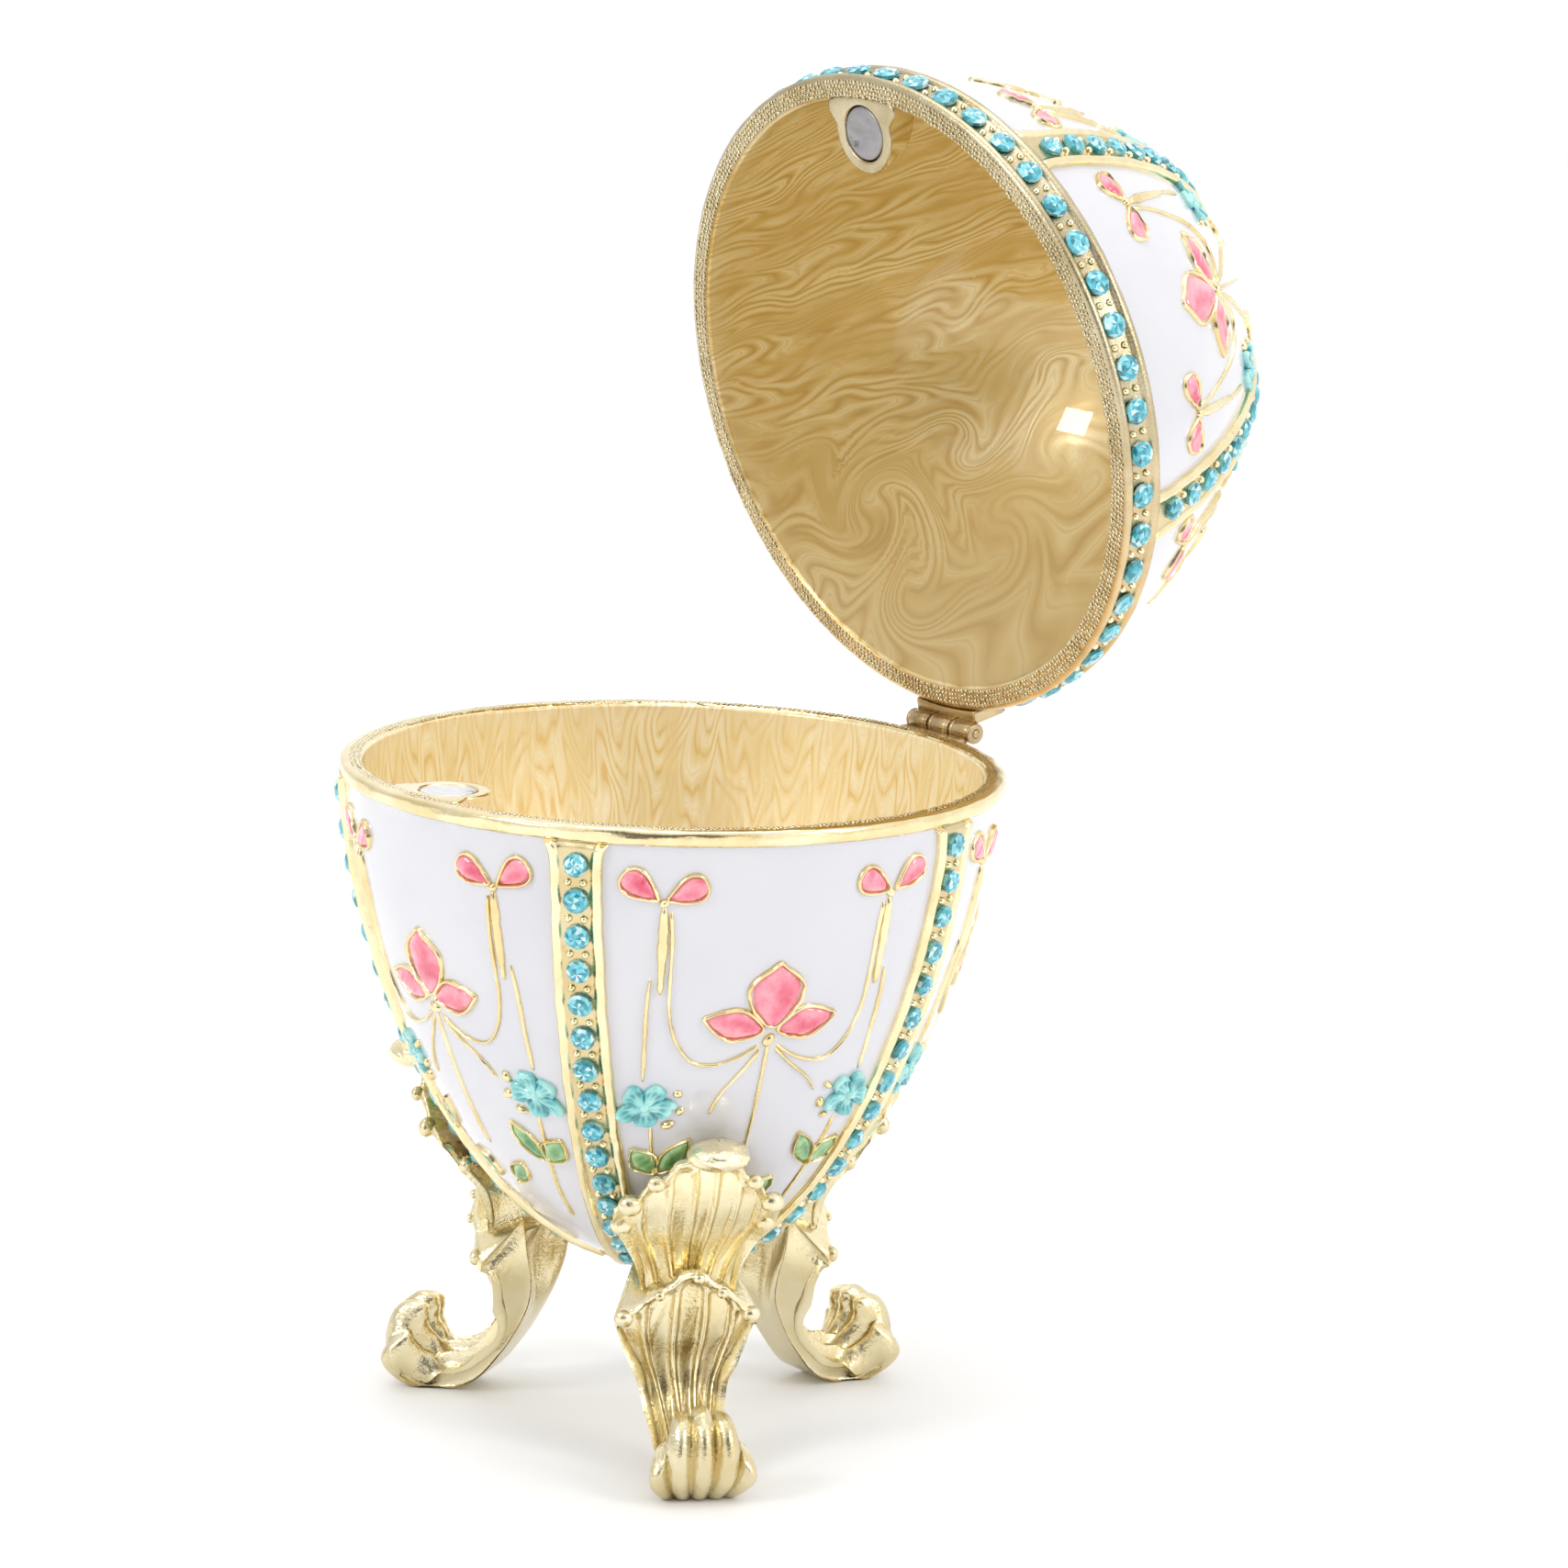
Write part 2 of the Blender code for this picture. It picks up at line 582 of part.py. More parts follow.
def make_pin(parts, material):
    """The plain hinge pin."""
    bm = bmesh.new()
    cylinder(bm, PIN_RADIUS, PIN_RADIUS, BARREL_LENGTH, (0, HINGE_Y, HINGE_Z), "X", 14)
    return add_mesh("hinge_pin", bm, parts, material)


def make_magnet(half, parts, material):
    """A disc magnet lying flush in its pocket."""
    bm = bmesh.new()
    centre = half.base + half.side * (0.05 + MAGNET_THICKNESS / 2)
    cylinder(bm, MAGNET_RADIUS, MAGNET_RADIUS, MAGNET_THICKNESS, (0, LUG_Y, centre))
    return add_mesh(half.name + "_magnet", bm, parts, material)


# --- assembly ------------------------------------------------------------------------------

def make_empty(name, location, group):
    """An empty to hang pieces on."""
    empty = bpy.data.objects.new(name, None)
    empty.location = Vector(location) * MM
    group.objects.link(empty)
    return empty


def hang(item, parent, offset):
    """Parent an object to an empty that is not at the origin."""
    item.parent = parent
    item.matrix_parent_inverse = Matrix.Translation(-Vector(offset) * MM)


def world_box(items):
    """Lowest and highest corner of the evaluated meshes, in metres."""
    bpy.context.view_layer.update()
    graph = bpy.context.evaluated_depsgraph_get()
    corners = []
    for item in items:
        shown = item.evaluated_get(graph)
        mesh = shown.to_mesh()
        points = np.empty(len(mesh.vertices) * 3)
        mesh.vertices.foreach_get("co", points)
        turn = np.array(shown.matrix_world)
        placed = points.reshape(-1, 3) @ turn[:3, :3].T + turn[:3, 3]
        corners += [placed.min(axis=0), placed.max(axis=0)]
        shown.to_mesh_clear()
    return np.min(corners, axis=0), np.max(corners, axis=0)


def build():
    """Make every piece, open the lid and set the box down on the origin."""
    clear_scene()
    parts = new_collection("jewelled_egg_trinket_box")
    tools = new_collection("cutters")
    gold = finish("plated_gold", GOLD, 0.28, 1.0)
    glass = finish("blue_glass", GLASS_BLUE, 0.05, 0.0, 0.6)
    brass = finish("aged_brass", BRASS, 0.35, 1.0)
    steel = finish("magnet_plating", (0.62, 0.62, 0.62), 0.4, 1.0)

    bowl_items = [make_shell(BOWL, bowl_rim_band(), parts, tools, gold)]
    lid_items = [make_shell(LID, lid_rim_band(), parts, tools, gold)]
    for index, azimuth in enumerate(stripe_azimuths(), 1):
        bowl_items.append(make_stripe_row(BOWL, azimuth, index, parts, glass))
        lid_items.append(make_stripe_row(LID, azimuth, index, parts, glass))
    lid_items.append(make_rim_row(parts, glass))
    for name, azimuth in LEG_ANGLES.items():
        bowl_items.append(make_leg(name, azimuth, parts, tools, gold))
    bowl_items.append(make_hinge_leaf("hinge_bowl_leaf", -1, False, parts, tools, brass))
    lid_items.append(make_hinge_leaf("hinge_lid_leaf", 1, True, parts, tools, brass))
    bowl_items.append(make_pin(parts, brass))
    bowl_items.append(make_magnet(BOWL, parts, steel))
    lid_items.append(make_magnet(LID, parts, steel))
    for item in bowl_items + lid_items:
        smooth(item)

    axis = (0.0, HINGE_Y, HINGE_Z)
    base = make_empty("egg_axis", (0, 0, 0), parts)
    hinge = make_empty("hinge_axis", axis, parts)
    hinge.parent = base
    for item in bowl_items:
        item.parent = base
    for item in lid_items:
        hang(item, hinge, axis)
    for tool in tools.objects:
        if tool.name.startswith(("lid", "hinge_lid")):
            hang(tool, hinge, axis)
        else:
            tool.parent = base
    hinge.rotation_euler.x = -math.radians(OPEN_ANGLE)
    low, high = world_box(bowl_items + lid_items)
    base.location = (0.0, -(low[1] + high[1]) / 2, -low[2])
    bpy.context.view_layer.update()


build()
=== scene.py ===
import json
import math
from collections import namedtuple

import bmesh
import bpy
import numpy as np
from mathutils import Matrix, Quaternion, Vector


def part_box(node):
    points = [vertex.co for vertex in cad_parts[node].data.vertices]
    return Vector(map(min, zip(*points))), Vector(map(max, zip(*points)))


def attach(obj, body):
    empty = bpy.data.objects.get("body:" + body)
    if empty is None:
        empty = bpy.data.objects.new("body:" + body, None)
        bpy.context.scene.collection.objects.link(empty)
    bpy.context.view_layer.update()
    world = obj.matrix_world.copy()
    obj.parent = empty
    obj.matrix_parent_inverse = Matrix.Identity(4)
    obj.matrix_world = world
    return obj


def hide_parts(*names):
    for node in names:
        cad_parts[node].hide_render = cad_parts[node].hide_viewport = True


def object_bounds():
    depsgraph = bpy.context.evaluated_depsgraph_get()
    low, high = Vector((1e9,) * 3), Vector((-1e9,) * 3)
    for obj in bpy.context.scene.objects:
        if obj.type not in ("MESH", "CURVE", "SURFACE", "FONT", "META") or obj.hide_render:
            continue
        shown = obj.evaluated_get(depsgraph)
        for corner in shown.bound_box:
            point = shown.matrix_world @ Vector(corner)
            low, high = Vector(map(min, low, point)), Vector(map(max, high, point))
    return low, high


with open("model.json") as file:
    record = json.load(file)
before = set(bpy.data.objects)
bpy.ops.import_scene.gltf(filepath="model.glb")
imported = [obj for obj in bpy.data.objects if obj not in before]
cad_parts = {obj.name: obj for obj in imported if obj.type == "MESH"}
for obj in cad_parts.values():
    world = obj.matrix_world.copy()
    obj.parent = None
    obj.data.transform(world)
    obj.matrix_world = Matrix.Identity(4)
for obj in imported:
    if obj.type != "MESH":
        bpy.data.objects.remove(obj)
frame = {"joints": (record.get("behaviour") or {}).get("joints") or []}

cad_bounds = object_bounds()


# --- the bowl and the lid ------------------------------------------------------------------
# Two thin castings that share one egg outline, gilt all over. The outside is poured with white
# enamel and the inside with pearl gold enamel, and the rims are left as bare gilt metal.

MM = 0.001
bowl_low, bowl_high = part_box("bowl")
AXIS = np.array([(bowl_low.x + bowl_high.x) / 2, (bowl_low.y + bowl_high.y) / 2, bowl_high.z])
HINGE = np.array(frame["joints"][0]["pos_m"]) - AXIS
OPEN = math.radians(frame["joints"][0]["range_deg"][1])

RIM_RADIUS = (bowl_high.x - bowl_low.x) / 2 / MM
ENAMEL_RADIUS = RIM_RADIUS - 0.4
WALL = 2.0

Half = namedtuple("Half", "body height rim_power pole_power side base")
BOWL = Half("bowl", 46.3, 1.61, 2.0, -1, 0.0)
LID = Half("lid", 35.2, 1.59, 2.2, 1, 0.3)
TURNS = np.linspace(0, math.pi / 2, 4001)


def xyz(x, y, z):
    """Points from three arrays of coordinates."""
    return np.stack(np.broadcast_arrays(x, y, z), axis=-1)


def circle(sides):
    """The angles of one turn in even steps."""
    return np.linspace(0, 2 * math.pi, sides, endpoint=False)


def ease(value):
    """0 below 0, 1 above 1, and 3v^2 - 2v^3 between."""
    value = np.clip(value, 0, 1)
    return value * value * (3 - 2 * value)


def peak(value, centre, width):
    """A bell of height 1: exp(-((value - centre) / width)^2)."""
    return np.exp(-((value - centre) / width) ** 2)


def waves(*phases):
    """A smooth uneven ripple between about -1 and 1: four sines of the phases, summed."""
    total = 0.0
    for rate, shift in ((1.0, 0.3), (1.7, 2.1), (2.9, 4.4), (4.3, 1.2)):
        total = total + np.sin(sum(rate * phase + shift * (index + 1)
                                   for index, phase in enumerate(phases)))
    return total / 2.6


def length_along(line):
    """Length along a line of points from its start."""
    return np.concatenate([[0.0], np.cumsum(np.hypot(*np.diff(line, axis=0).T))])


def outline(half, turn, rise=0.0):
    """Radius and z on the meridian: radius = R cos(turn)^(2/b), depth = H sin(turn)^(2/a).

    The point is then moved out by rise along the normal (d depth, -d radius) at length one.
    """
    cos, sin = np.maximum(np.cos(turn), 1e-6), np.maximum(np.sin(turn), 1e-6)
    r = ENAMEL_RADIUS * cos ** (2 / half.pole_power)
    z = half.height * sin ** (2 / half.rim_power)
    dr = -ENAMEL_RADIUS * 2 / half.pole_power * cos ** (2 / half.pole_power - 1) * sin
    dz = half.height * 2 / half.rim_power * sin ** (2 / half.rim_power - 1) * cos
    length = np.hypot(dr, dz)
    return r + rise * dz / length, half.base + half.side * (z - rise * dr / length)


# Length along each half's meridian from the rim, at each of TURNS.
RUNS = {half.body: length_along(np.column_stack(outline(half, TURNS))) for half in (BOWL, LID)}


def turn_at_depth(half, depth):
    """The meridian's turn this far from the rim plane: arcsin((depth / H)^(a/2))."""
    return np.arcsin((np.maximum(depth, 0.0) / half.height) ** (half.rim_power / 2))


def turn_at_radius(half, radius):
    """The meridian's turn at this radius: arccos((radius / R)^(b/2))."""
    return np.arccos((radius / ENAMEL_RADIUS) ** (half.pole_power / 2))


def run_at(half, turn):
    """Length along the meridian from the rim to a turn."""
    return np.interp(turn, TURNS, RUNS[half.body])


def on_egg(half, azimuth, across, run, rise):
    """Points on the enamel, run along the meridian from the rim and across it as an arc: the
    azimuth's offset is across / radius, and rise lifts the point along the normal."""
    turn = np.interp(run, RUNS[half.body], TURNS)
    angle = math.radians(azimuth) + across / outline(half, turn)[0]
    r, z = outline(half, turn, rise)
    return xyz(r * np.cos(angle), r * np.sin(angle), z)


def in_place(half, points):
    """From the closed egg to the world: the lid is turned back by OPEN about the hinge."""
    x, y, z = np.moveaxis(points * MM, -1, 0)
    if half is LID:
        y, z = y - HINGE[1], z - HINGE[2]
        y, z = (HINGE[1] + y * math.cos(OPEN) + z * math.sin(OPEN),
                HINGE[2] - y * math.sin(OPEN) + z * math.cos(OPEN))
    return xyz(x, y, z) + AXIS


Patch = namedtuple("Patch", "points wrap_rows finish core", defaults=(False, 0, 0.0))


def grid_faces(count, rows, columns, wrap_rows):
    """Quads of count equal grids. The last column joins the first, and so do wrapped rows."""
    i, j = np.arange(rows if wrap_rows else rows - 1)[:, None], np.arange(columns)
    down, right = (i + 1) % rows, (j + 1) % columns
    quads = np.stack([i * columns + j, down * columns + j, down * columns + right,
                      i * columns + right], axis=-1)
    return quads + np.arange(count)[:, None, None, None] * rows * columns


def grid_mesh(name, patches, place, flow=None):
    """One mesh of grids, put in its place.

    A patch's points have the shape (rows, columns, 3), or (count, rows, columns, 3) for a
    repeated form. Its finish is one index, or one for each row of faces. Doubles are merged,
    so a row that shrinks to a point is a closed pole, and closed forms face outwards.
    """
    points, faces, marks, cores, total = [], [], [], [], 0
    for patch in patches:
        grids = patch.points if patch.points.ndim == 4 else patch.points[None]
        quads = grid_faces(*grids.shape[:3], patch.wrap_rows)
        mark = np.asarray(patch.finish)[..., None]
        marks.append(np.broadcast_to(mark, quads.shape[:3]).ravel())
        cores.append(np.broadcast_to(patch.core, grids.shape[:3]).ravel())
        points.append(grids.reshape(-1, 3))
        faces.append(quads.reshape(-1, 4) + total)
        total += len(points[-1])
    points = np.concatenate(points)
    mesh = bpy.data.meshes.new(name)
    mesh.from_pydata(place(points).tolist(), [], np.concatenate(faces).tolist())
    mesh.polygons.foreach_set("material_index", np.concatenate(marks).astype(np.int32))
    core = mesh.attributes.new("core", "FLOAT", "POINT")
    core.data.foreach_set("value", np.concatenate(cores).astype(np.float32))
    if flow:
        current = mesh.attributes.new("flow", "FLOAT_VECTOR", "POINT")
        current.data.foreach_set("vector", flow(points).ravel().astype(np.float32))
    body = bmesh.new()
    body.from_mesh(mesh)
    bmesh.ops.remove_doubles(body, verts=body.verts, dist=1e-6)
    bmesh.ops.recalc_face_normals(body, faces=body.faces)
    body.to_mesh(mesh)
    body.free()
    return mesh


def show(name, data):
    """An object of its own for a mesh, a light or a camera."""
    item = bpy.data.objects.new(name, data)
    bpy.context.scene.collection.objects.link(item)
    return item


def add_piece(name, half, patches, finishes, stands_for=(), crease=50.0, flow=None):
    """A piece made of closed grids, riding on its half of the egg. Edges sharper than crease
    stay sharp, and crease 0 leaves every face flat."""
    mesh = grid_mesh(name, patches, lambda points: in_place(half, points), flow)
    if crease:
        mesh.shade_smooth()
        mesh.set_sharp_from_angle(angle=math.radians(crease))
    else:
        mesh.shade_flat()
    for finish in finishes:
        mesh.materials.append(finish)
    piece = show(name, mesh)
    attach(piece, half.body)
    if stands_for:
        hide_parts(*stands_for)
    return piece


def put(kind, feeds, out=0, tree=None, **settings):
    """A new shader node's output. Its feeds, by input, are values or other nodes' outputs, and
    it goes into their tree."""
    wired = [value for value in feeds.values() if isinstance(value, bpy.types.NodeSocket)]
    tree = tree or wired[0].id_data
    item = tree.nodes.new("ShaderNode" + kind)
    for key, value in settings.items():
        setattr(item, key, value)
    for key, value in feeds.items():
        socket = item.inputs[key]
        if isinstance(value, bpy.types.NodeSocket):
            tree.links.new(value, socket)
        elif socket.type == "RGBA":
            socket.default_value = (*value, 1)
        else:
            socket.default_value = value
    return item.outputs[out]


def feed(item, **sources):
    """Join outputs of other nodes to a node's inputs."""
    for key, source in sources.items():
        item.id_data.links.new(source, item.inputs[key.replace("_", " ")])


def place_on(item):
    """Object coordinates, for the tree that a node is in."""
    return put("TexCoord", {}, "Object", item.id_data)


def mark_on(item, name, out="Fac"):
    """A mesh attribute, for the tree that a node is in."""
    return put("Attribute", {}, out, item.id_data, attribute_name=name)


def noise(place, scale, detail=2.0, roughness=0.5):
    """A cloudy noise between 0 and 1."""
    return put("TexNoise", {"Vector": place, "Scale": scale, "Detail": detail,
                            "Roughness": roughness})


def spread(value, *limits):
    """A value carried from one range to another: from low, high, to low, high."""
    return put("MapRange", {0: value, **dict(enumerate(limits, 1))})


def maths(operation, first, second=0.0, clamp=False):
    """One Math node."""
    return put("Math", {0: first, 1: second}, operation=operation, use_clamp=clamp)


def times(first, second):
    """The product of two values."""
    return maths("MULTIPLY", first, second)


def plus(first, second, clamp=False):
    """The sum of two values."""
    return maths("ADD", first, second, clamp)


def blend(factor, first, second, mode="MIX"):
    """One colour over another by a factor."""
    return put("Mix", {0: factor, 6: first, 7: second}, 2, data_type="RGBA", blend_type=mode)


def ramp(factor, *stops):
    """A colour ramp of (place, colour) stops."""
    colour = put("ValToRGB", {"Fac": factor})
    scale = colour.node.color_ramp.elements
    while len(scale) < len(stops):
        scale.new(0.5)
    for mark, (place, tone) in zip(scale, stops):
        mark.position, mark.color = place, (*tone, 1.0)
    return colour


def bump(height, strength, distance):
    """The normal that a height makes, with its distance in millimetres."""
    return put("Bump", {"Height": height, "Strength": strength, "Distance": distance * MM})


def new_group(name, inputs, outputs):
    """An empty shader node group: the node that gives its inputs, and the one that takes its
    outputs. A 4-tuple is a colour, a 3-tuple a vector."""
    tree = bpy.data.node_groups.new(name, "ShaderNodeTree")
    for label, value in inputs.items():
        kind = {4: "Color", 3: "Vector", 1: "Float"}[np.size(value)]
        socket = tree.interface.new_socket(label, in_out="INPUT", socket_type="NodeSocket" + kind)
        socket.default_value = value
    for label, kind in outputs.items():
        tree.interface.new_socket(label, in_out="OUTPUT", socket_type="NodeSocket" + kind)
    return tree.nodes.new("NodeGroupInput"), tree.nodes.new("NodeGroupOutput")


def new_material(name, **plain):
    """A material and its Principled shader, with plain values on the shader's own sockets."""
    material = bpy.data.materials.new(name)
    material.use_nodes = True
    shader = material.node_tree.nodes["Principled BSDF"]
    for key, value in plain.items():
        shader.inputs[key.replace("_", " ")].default_value = value
    return material, shader


def build_gilding():
    """Gilding: a colour that drifts between pale and deep with brown tarnish in patches, an
    uneven polish, and a fine cast grain."""
    given, result = new_group(
        "gilding", {"Pale": (0.86, 0.70, 0.40, 1), "Deep": (0.62, 0.42, 0.15, 1),
                    "Tarnish": 0.1, "Polish": 0.2, "Grain": 4.0},
        {"Colour": "Color", "Roughness": "Float", "Height": "Float"})
    pale, deep, tarnish, polish, fineness = given.outputs[:5]
    place = place_on(given)
    grain = noise(place, times(fineness, 1000.0), 3.0, 0.65)
    colour = blend(spread(noise(place, 180.0, 4.0, 0.6), 0.35, 0.7), pale, deep)
    spot = times(spread(noise(place, 520.0, 5.0, 0.7), 0.60, 0.74), tarnish)
    rough = plus(polish, spread(grain, 0.3, 0.75, -0.05, 0.07))
    feed(result, Colour=blend(spot, colour, (0.16, 0.08, 0.035)),
         Roughness=plus(rough, times(spot, 0.35), clamp=True), Height=grain)
    return given.id_data


GILDING = build_gilding()


def gilt(name, pale, deep, tarnish, polish, grain, relief, painted_shading_tint=(0.50, 0.41, 0.27)):
    """A gilt metal finish. Where the core attribute is 1 the gold is multiplied by a tint: painted
    shade in the legs' flutes and the stripes' channels, painted light on the lid's rim face toward
    the hinge.
    """
    material, shader = new_material(name, Metallic=1.0)
    gold, rough, height = put("Group", {"Pale": pale, "Deep": deep, "Tarnish": tarnish,
                                        "Polish": polish, "Grain": grain},
                              tree=shader.id_data, node_tree=GILDING).node.outputs
    core = mark_on(shader, "core")
    # Painted shading: the gold takes the tint where core is 1.
    feed(shader, Base_Color=blend(core, gold, blend(1.0, gold, painted_shading_tint, "MULTIPLY")),
         Roughness=plus(rough, times(core, 0.12)), Normal=bump(height, 0.5, relief))
    return material


RIM_GOLD = gilt("rim_gold", (0.91, 0.80, 0.52), (0.78, 0.62, 0.32),
                tarnish=0.12, polish=0.15, grain=1.6, relief=0.05)
# Toward the hinge the lid's rim face takes a brighter, yellower tint: painted light.
FACE_GOLD = gilt("rim_face_gold", (0.62, 0.54, 0.37), (0.45, 0.37, 0.21),
                 tarnish=0.25, polish=0.26, grain=5.0, relief=0.08, painted_shading_tint=(1.5, 1.05, 0.5))


def build_pearl():
    """Poured pearl enamel, combed into tongues. The flow is (x, y, along): the streams lie at
    the angles of (x, y), and run along. The tone = pace along + pull |sin(count angle + warp)|
    + wander mixed, where the warp and the pull drift slowly and mixed is a noise drawn out along
    the streams. Its contours are nested tongues, round where the streams lead and sharp where
    two meet. The band is the sine of the tone, the veil says where the streams are well mixed,
    and the sheen is a finer streak."""
    given, result = new_group(
        "pearl_streams", {"Flow": (0, 0, 0), "Count": 30.0, "Pace": 1.0, "Pull": 20.0,
                          "Wander": 8.0, "Warp": 5.0},
        {"Band": "Float", "Veil": "Float", "Sheen": "Float"})
    flow, count, pace, pull, wander, warp = given.outputs[:6]

    def scaled(vector, share):
        return put("VectorMath", {0: vector, 1: share}, operation="MULTIPLY")

    def mixed(vector, scale, detail):
        return noise(vector, scale, detail, 0.45)

    x, y, along = put("SeparateXYZ", {"Vector": flow}).node.outputs
    facing = put("VectorMath", {0: scaled(flow, (1, 1, 0))}, operation="NORMALIZE")
    stream = put("VectorMath", {0: scaled(facing, (22, 22, 0)), 1: scaled(flow, (0, 0, 0.10))},
                 operation="ADD")
    drift = times(maths("SUBTRACT", mixed(flow, 0.09, 1.0), 0.5), warp)
    tongue = maths("ABSOLUTE", maths("SINE", plus(times(maths("ARCTAN2", y, x), count), drift)))
    strength = spread(mixed(stream, 0.5, 1.0), 0.30, 0.70, 0.25, 1.5)
    tone = plus(times(along, pace), times(times(tongue, strength), pull))
    tone = plus(tone, times(mixed(stream, 0.9, 2.0), wander))
    feed(result, Band=spread(maths("SINE", tone), -1.0, 1.0),
         Veil=spread(mixed(stream, 0.7, 2.0), 0.38, 0.60), Sheen=mixed(stream, 2.4, 3.0))
    return given.id_data


PEARL = build_pearl()


def pearl_lining(name, deep, middle, light, **streams):
    """Pearl gold enamel under a hard gloss: metal flake in the colour coat, clear on top.

    Each band runs softly from middle to light, with a thin deep line along one edge; its pale
    hairline is lifted past light as a painted glint. The finer streaks are mixed toward light as
    painted sheen over the enamel's own streaks. Where core is 1 the enamel is paler: painted light
    near the rim and toward the lid's hinge.
    """
    material, shader = new_material(name, Metallic=0.22, Coat_Weight=1.0, Coat_Roughness=0.03,
                                    Coat_IOR=1.5)
    band, veil, sheen = put("Group", {"Flow": mark_on(shader, "flow", "Vector"), **streams},
                            node_tree=PEARL).node.outputs
    half_light = tuple(0.5 * (m + v) for m, v in zip(middle, light))
    # The stop at 0.96, paler than light, is a painted glint on the enamel's pale hairlines.
    colour = ramp(band, (0.0, deep), (0.14, middle), (0.62, half_light), (0.90, light),
                  (0.96, tuple(0.2 + 0.8 * v for v in light)), (1.0, half_light))
    colour = blend(spread(veil, 0, 1, 0.15, 0.85), middle, colour)
    # Painted sheen: the finer streaks are mixed toward the light colour.
    colour = blend(spread(sheen, 0.54, 0.74, 0, 0.55), colour, light)
    # Painted light: paler where core is 1, near the rim and toward the lid's hinge.
    colour = blend(times(mark_on(shader, "core"), 0.4), colour,
                   tuple(0.3 + 0.66 * part for part in light))
    feed(shader, Base_Color=colour, Roughness=spread(sheen, 0.35, 0.7, 0.44, 0.26),
         Normal=bump(plus(sheen, times(band, 0.25)), 0.2, 0.2))
    return material


LID_LINING = pearl_lining("pearl_lining_lid", (0.52, 0.32, 0.065), (0.65, 0.455, 0.13),
                          (0.86, 0.74, 0.40), Count=34.0, Pace=0.9, Pull=15.0, Wander=9.0,
                          Warp=4.5)
BOWL_LINING = pearl_lining("pearl_lining_bowl", (0.80, 0.57, 0.23), (0.89, 0.73, 0.39),
                           (0.98, 0.91, 0.69), Count=22.0, Pace=1.7, Pull=13.0, Wander=7.0,
                           Warp=7.0)


def white_enamel():
    """White vitreous enamel: hard gloss, a faint cool drift in tone and a rare dark pinprick."""
    material, shader = new_material("white_enamel", Coat_Weight=1.0, Coat_Roughness=0.04,
                                    Coat_IOR=1.5, IOR=1.5)
    place = place_on(shader)
    drift = noise(place, 60.0, 3.0)
    colour = ramp(drift, (0.35, (0.615, 0.610, 0.650)), (0.65, (0.660, 0.652, 0.682)))
    pits = spread(put("TexVoronoi", {"Vector": place, "Scale": 170.0}), 0.022, 0.012)
    feed(shader, Base_Color=blend(pits, colour, (0.30, 0.27, 0.25)),
         Normal=bump(noise(place, 220.0, 1.0), 0.15, 0.1),
         Roughness=spread(drift, 0, 1, 0.16, 0.26))
    return material


WHITE_ENAMEL = white_enamel()

# Rim sections as (radius, depth below the rim plane), from the lining's edge outwards.
LINING_EDGE = [(27.98, 0.45), (28.05, 0.30), (28.2, 0.22)]
BOWL_RIM = [(28.25, 0.20), (28.32, 0.06), (28.5, 0.0), (29.1, -0.02), (29.55, 0.0),
            (29.8, 0.07), (29.95, 0.2), (30.0, 0.42), (30.02, 0.75), (30.0, 1.05),
            (29.9, 1.27), (29.75, 1.4), (29.62, 1.47)]
LID_RIM = [(28.25, 0.16), (28.34, 0.04), (28.5, 0.0), (29.1, 0.0), (29.6, 0.0), (29.85, 0.03),
           (30.1, 0.14), (30.28, 0.34), (30.3, 0.6), (30.22, 0.82), (30.05, 0.93), (29.9, 1.0),
           (29.88, 1.2), (29.86, 2.1), (29.88, 3.1), (29.95, 3.22), (30.12, 3.34), (30.26, 3.5),
           (30.28, 3.75), (30.24, 4.0), (30.1, 4.2), (29.88, 4.32), (29.66, 4.38)]
# The gilt disc at the pole as (radius, rise above the enamel), from its edge to the middle.
POLE_DISC = [(5.95, 0.1), (5.85, 0.24), (5.7, 0.3), (4.5, 0.3), (3.0, 0.3), (1.5, 0.3), (1e-6, 0.3)]
POLE_DISC_RADIUS = 6.0
LINING_START = 0.6
LINING_ROWS, ENAMEL_ROWS, SHELL_COLUMNS = 60, 48, 320
# How far the hammered ripple moves the gilt rims.
HAMMERING = {"bowl": 0.045, "lid": 0.02}


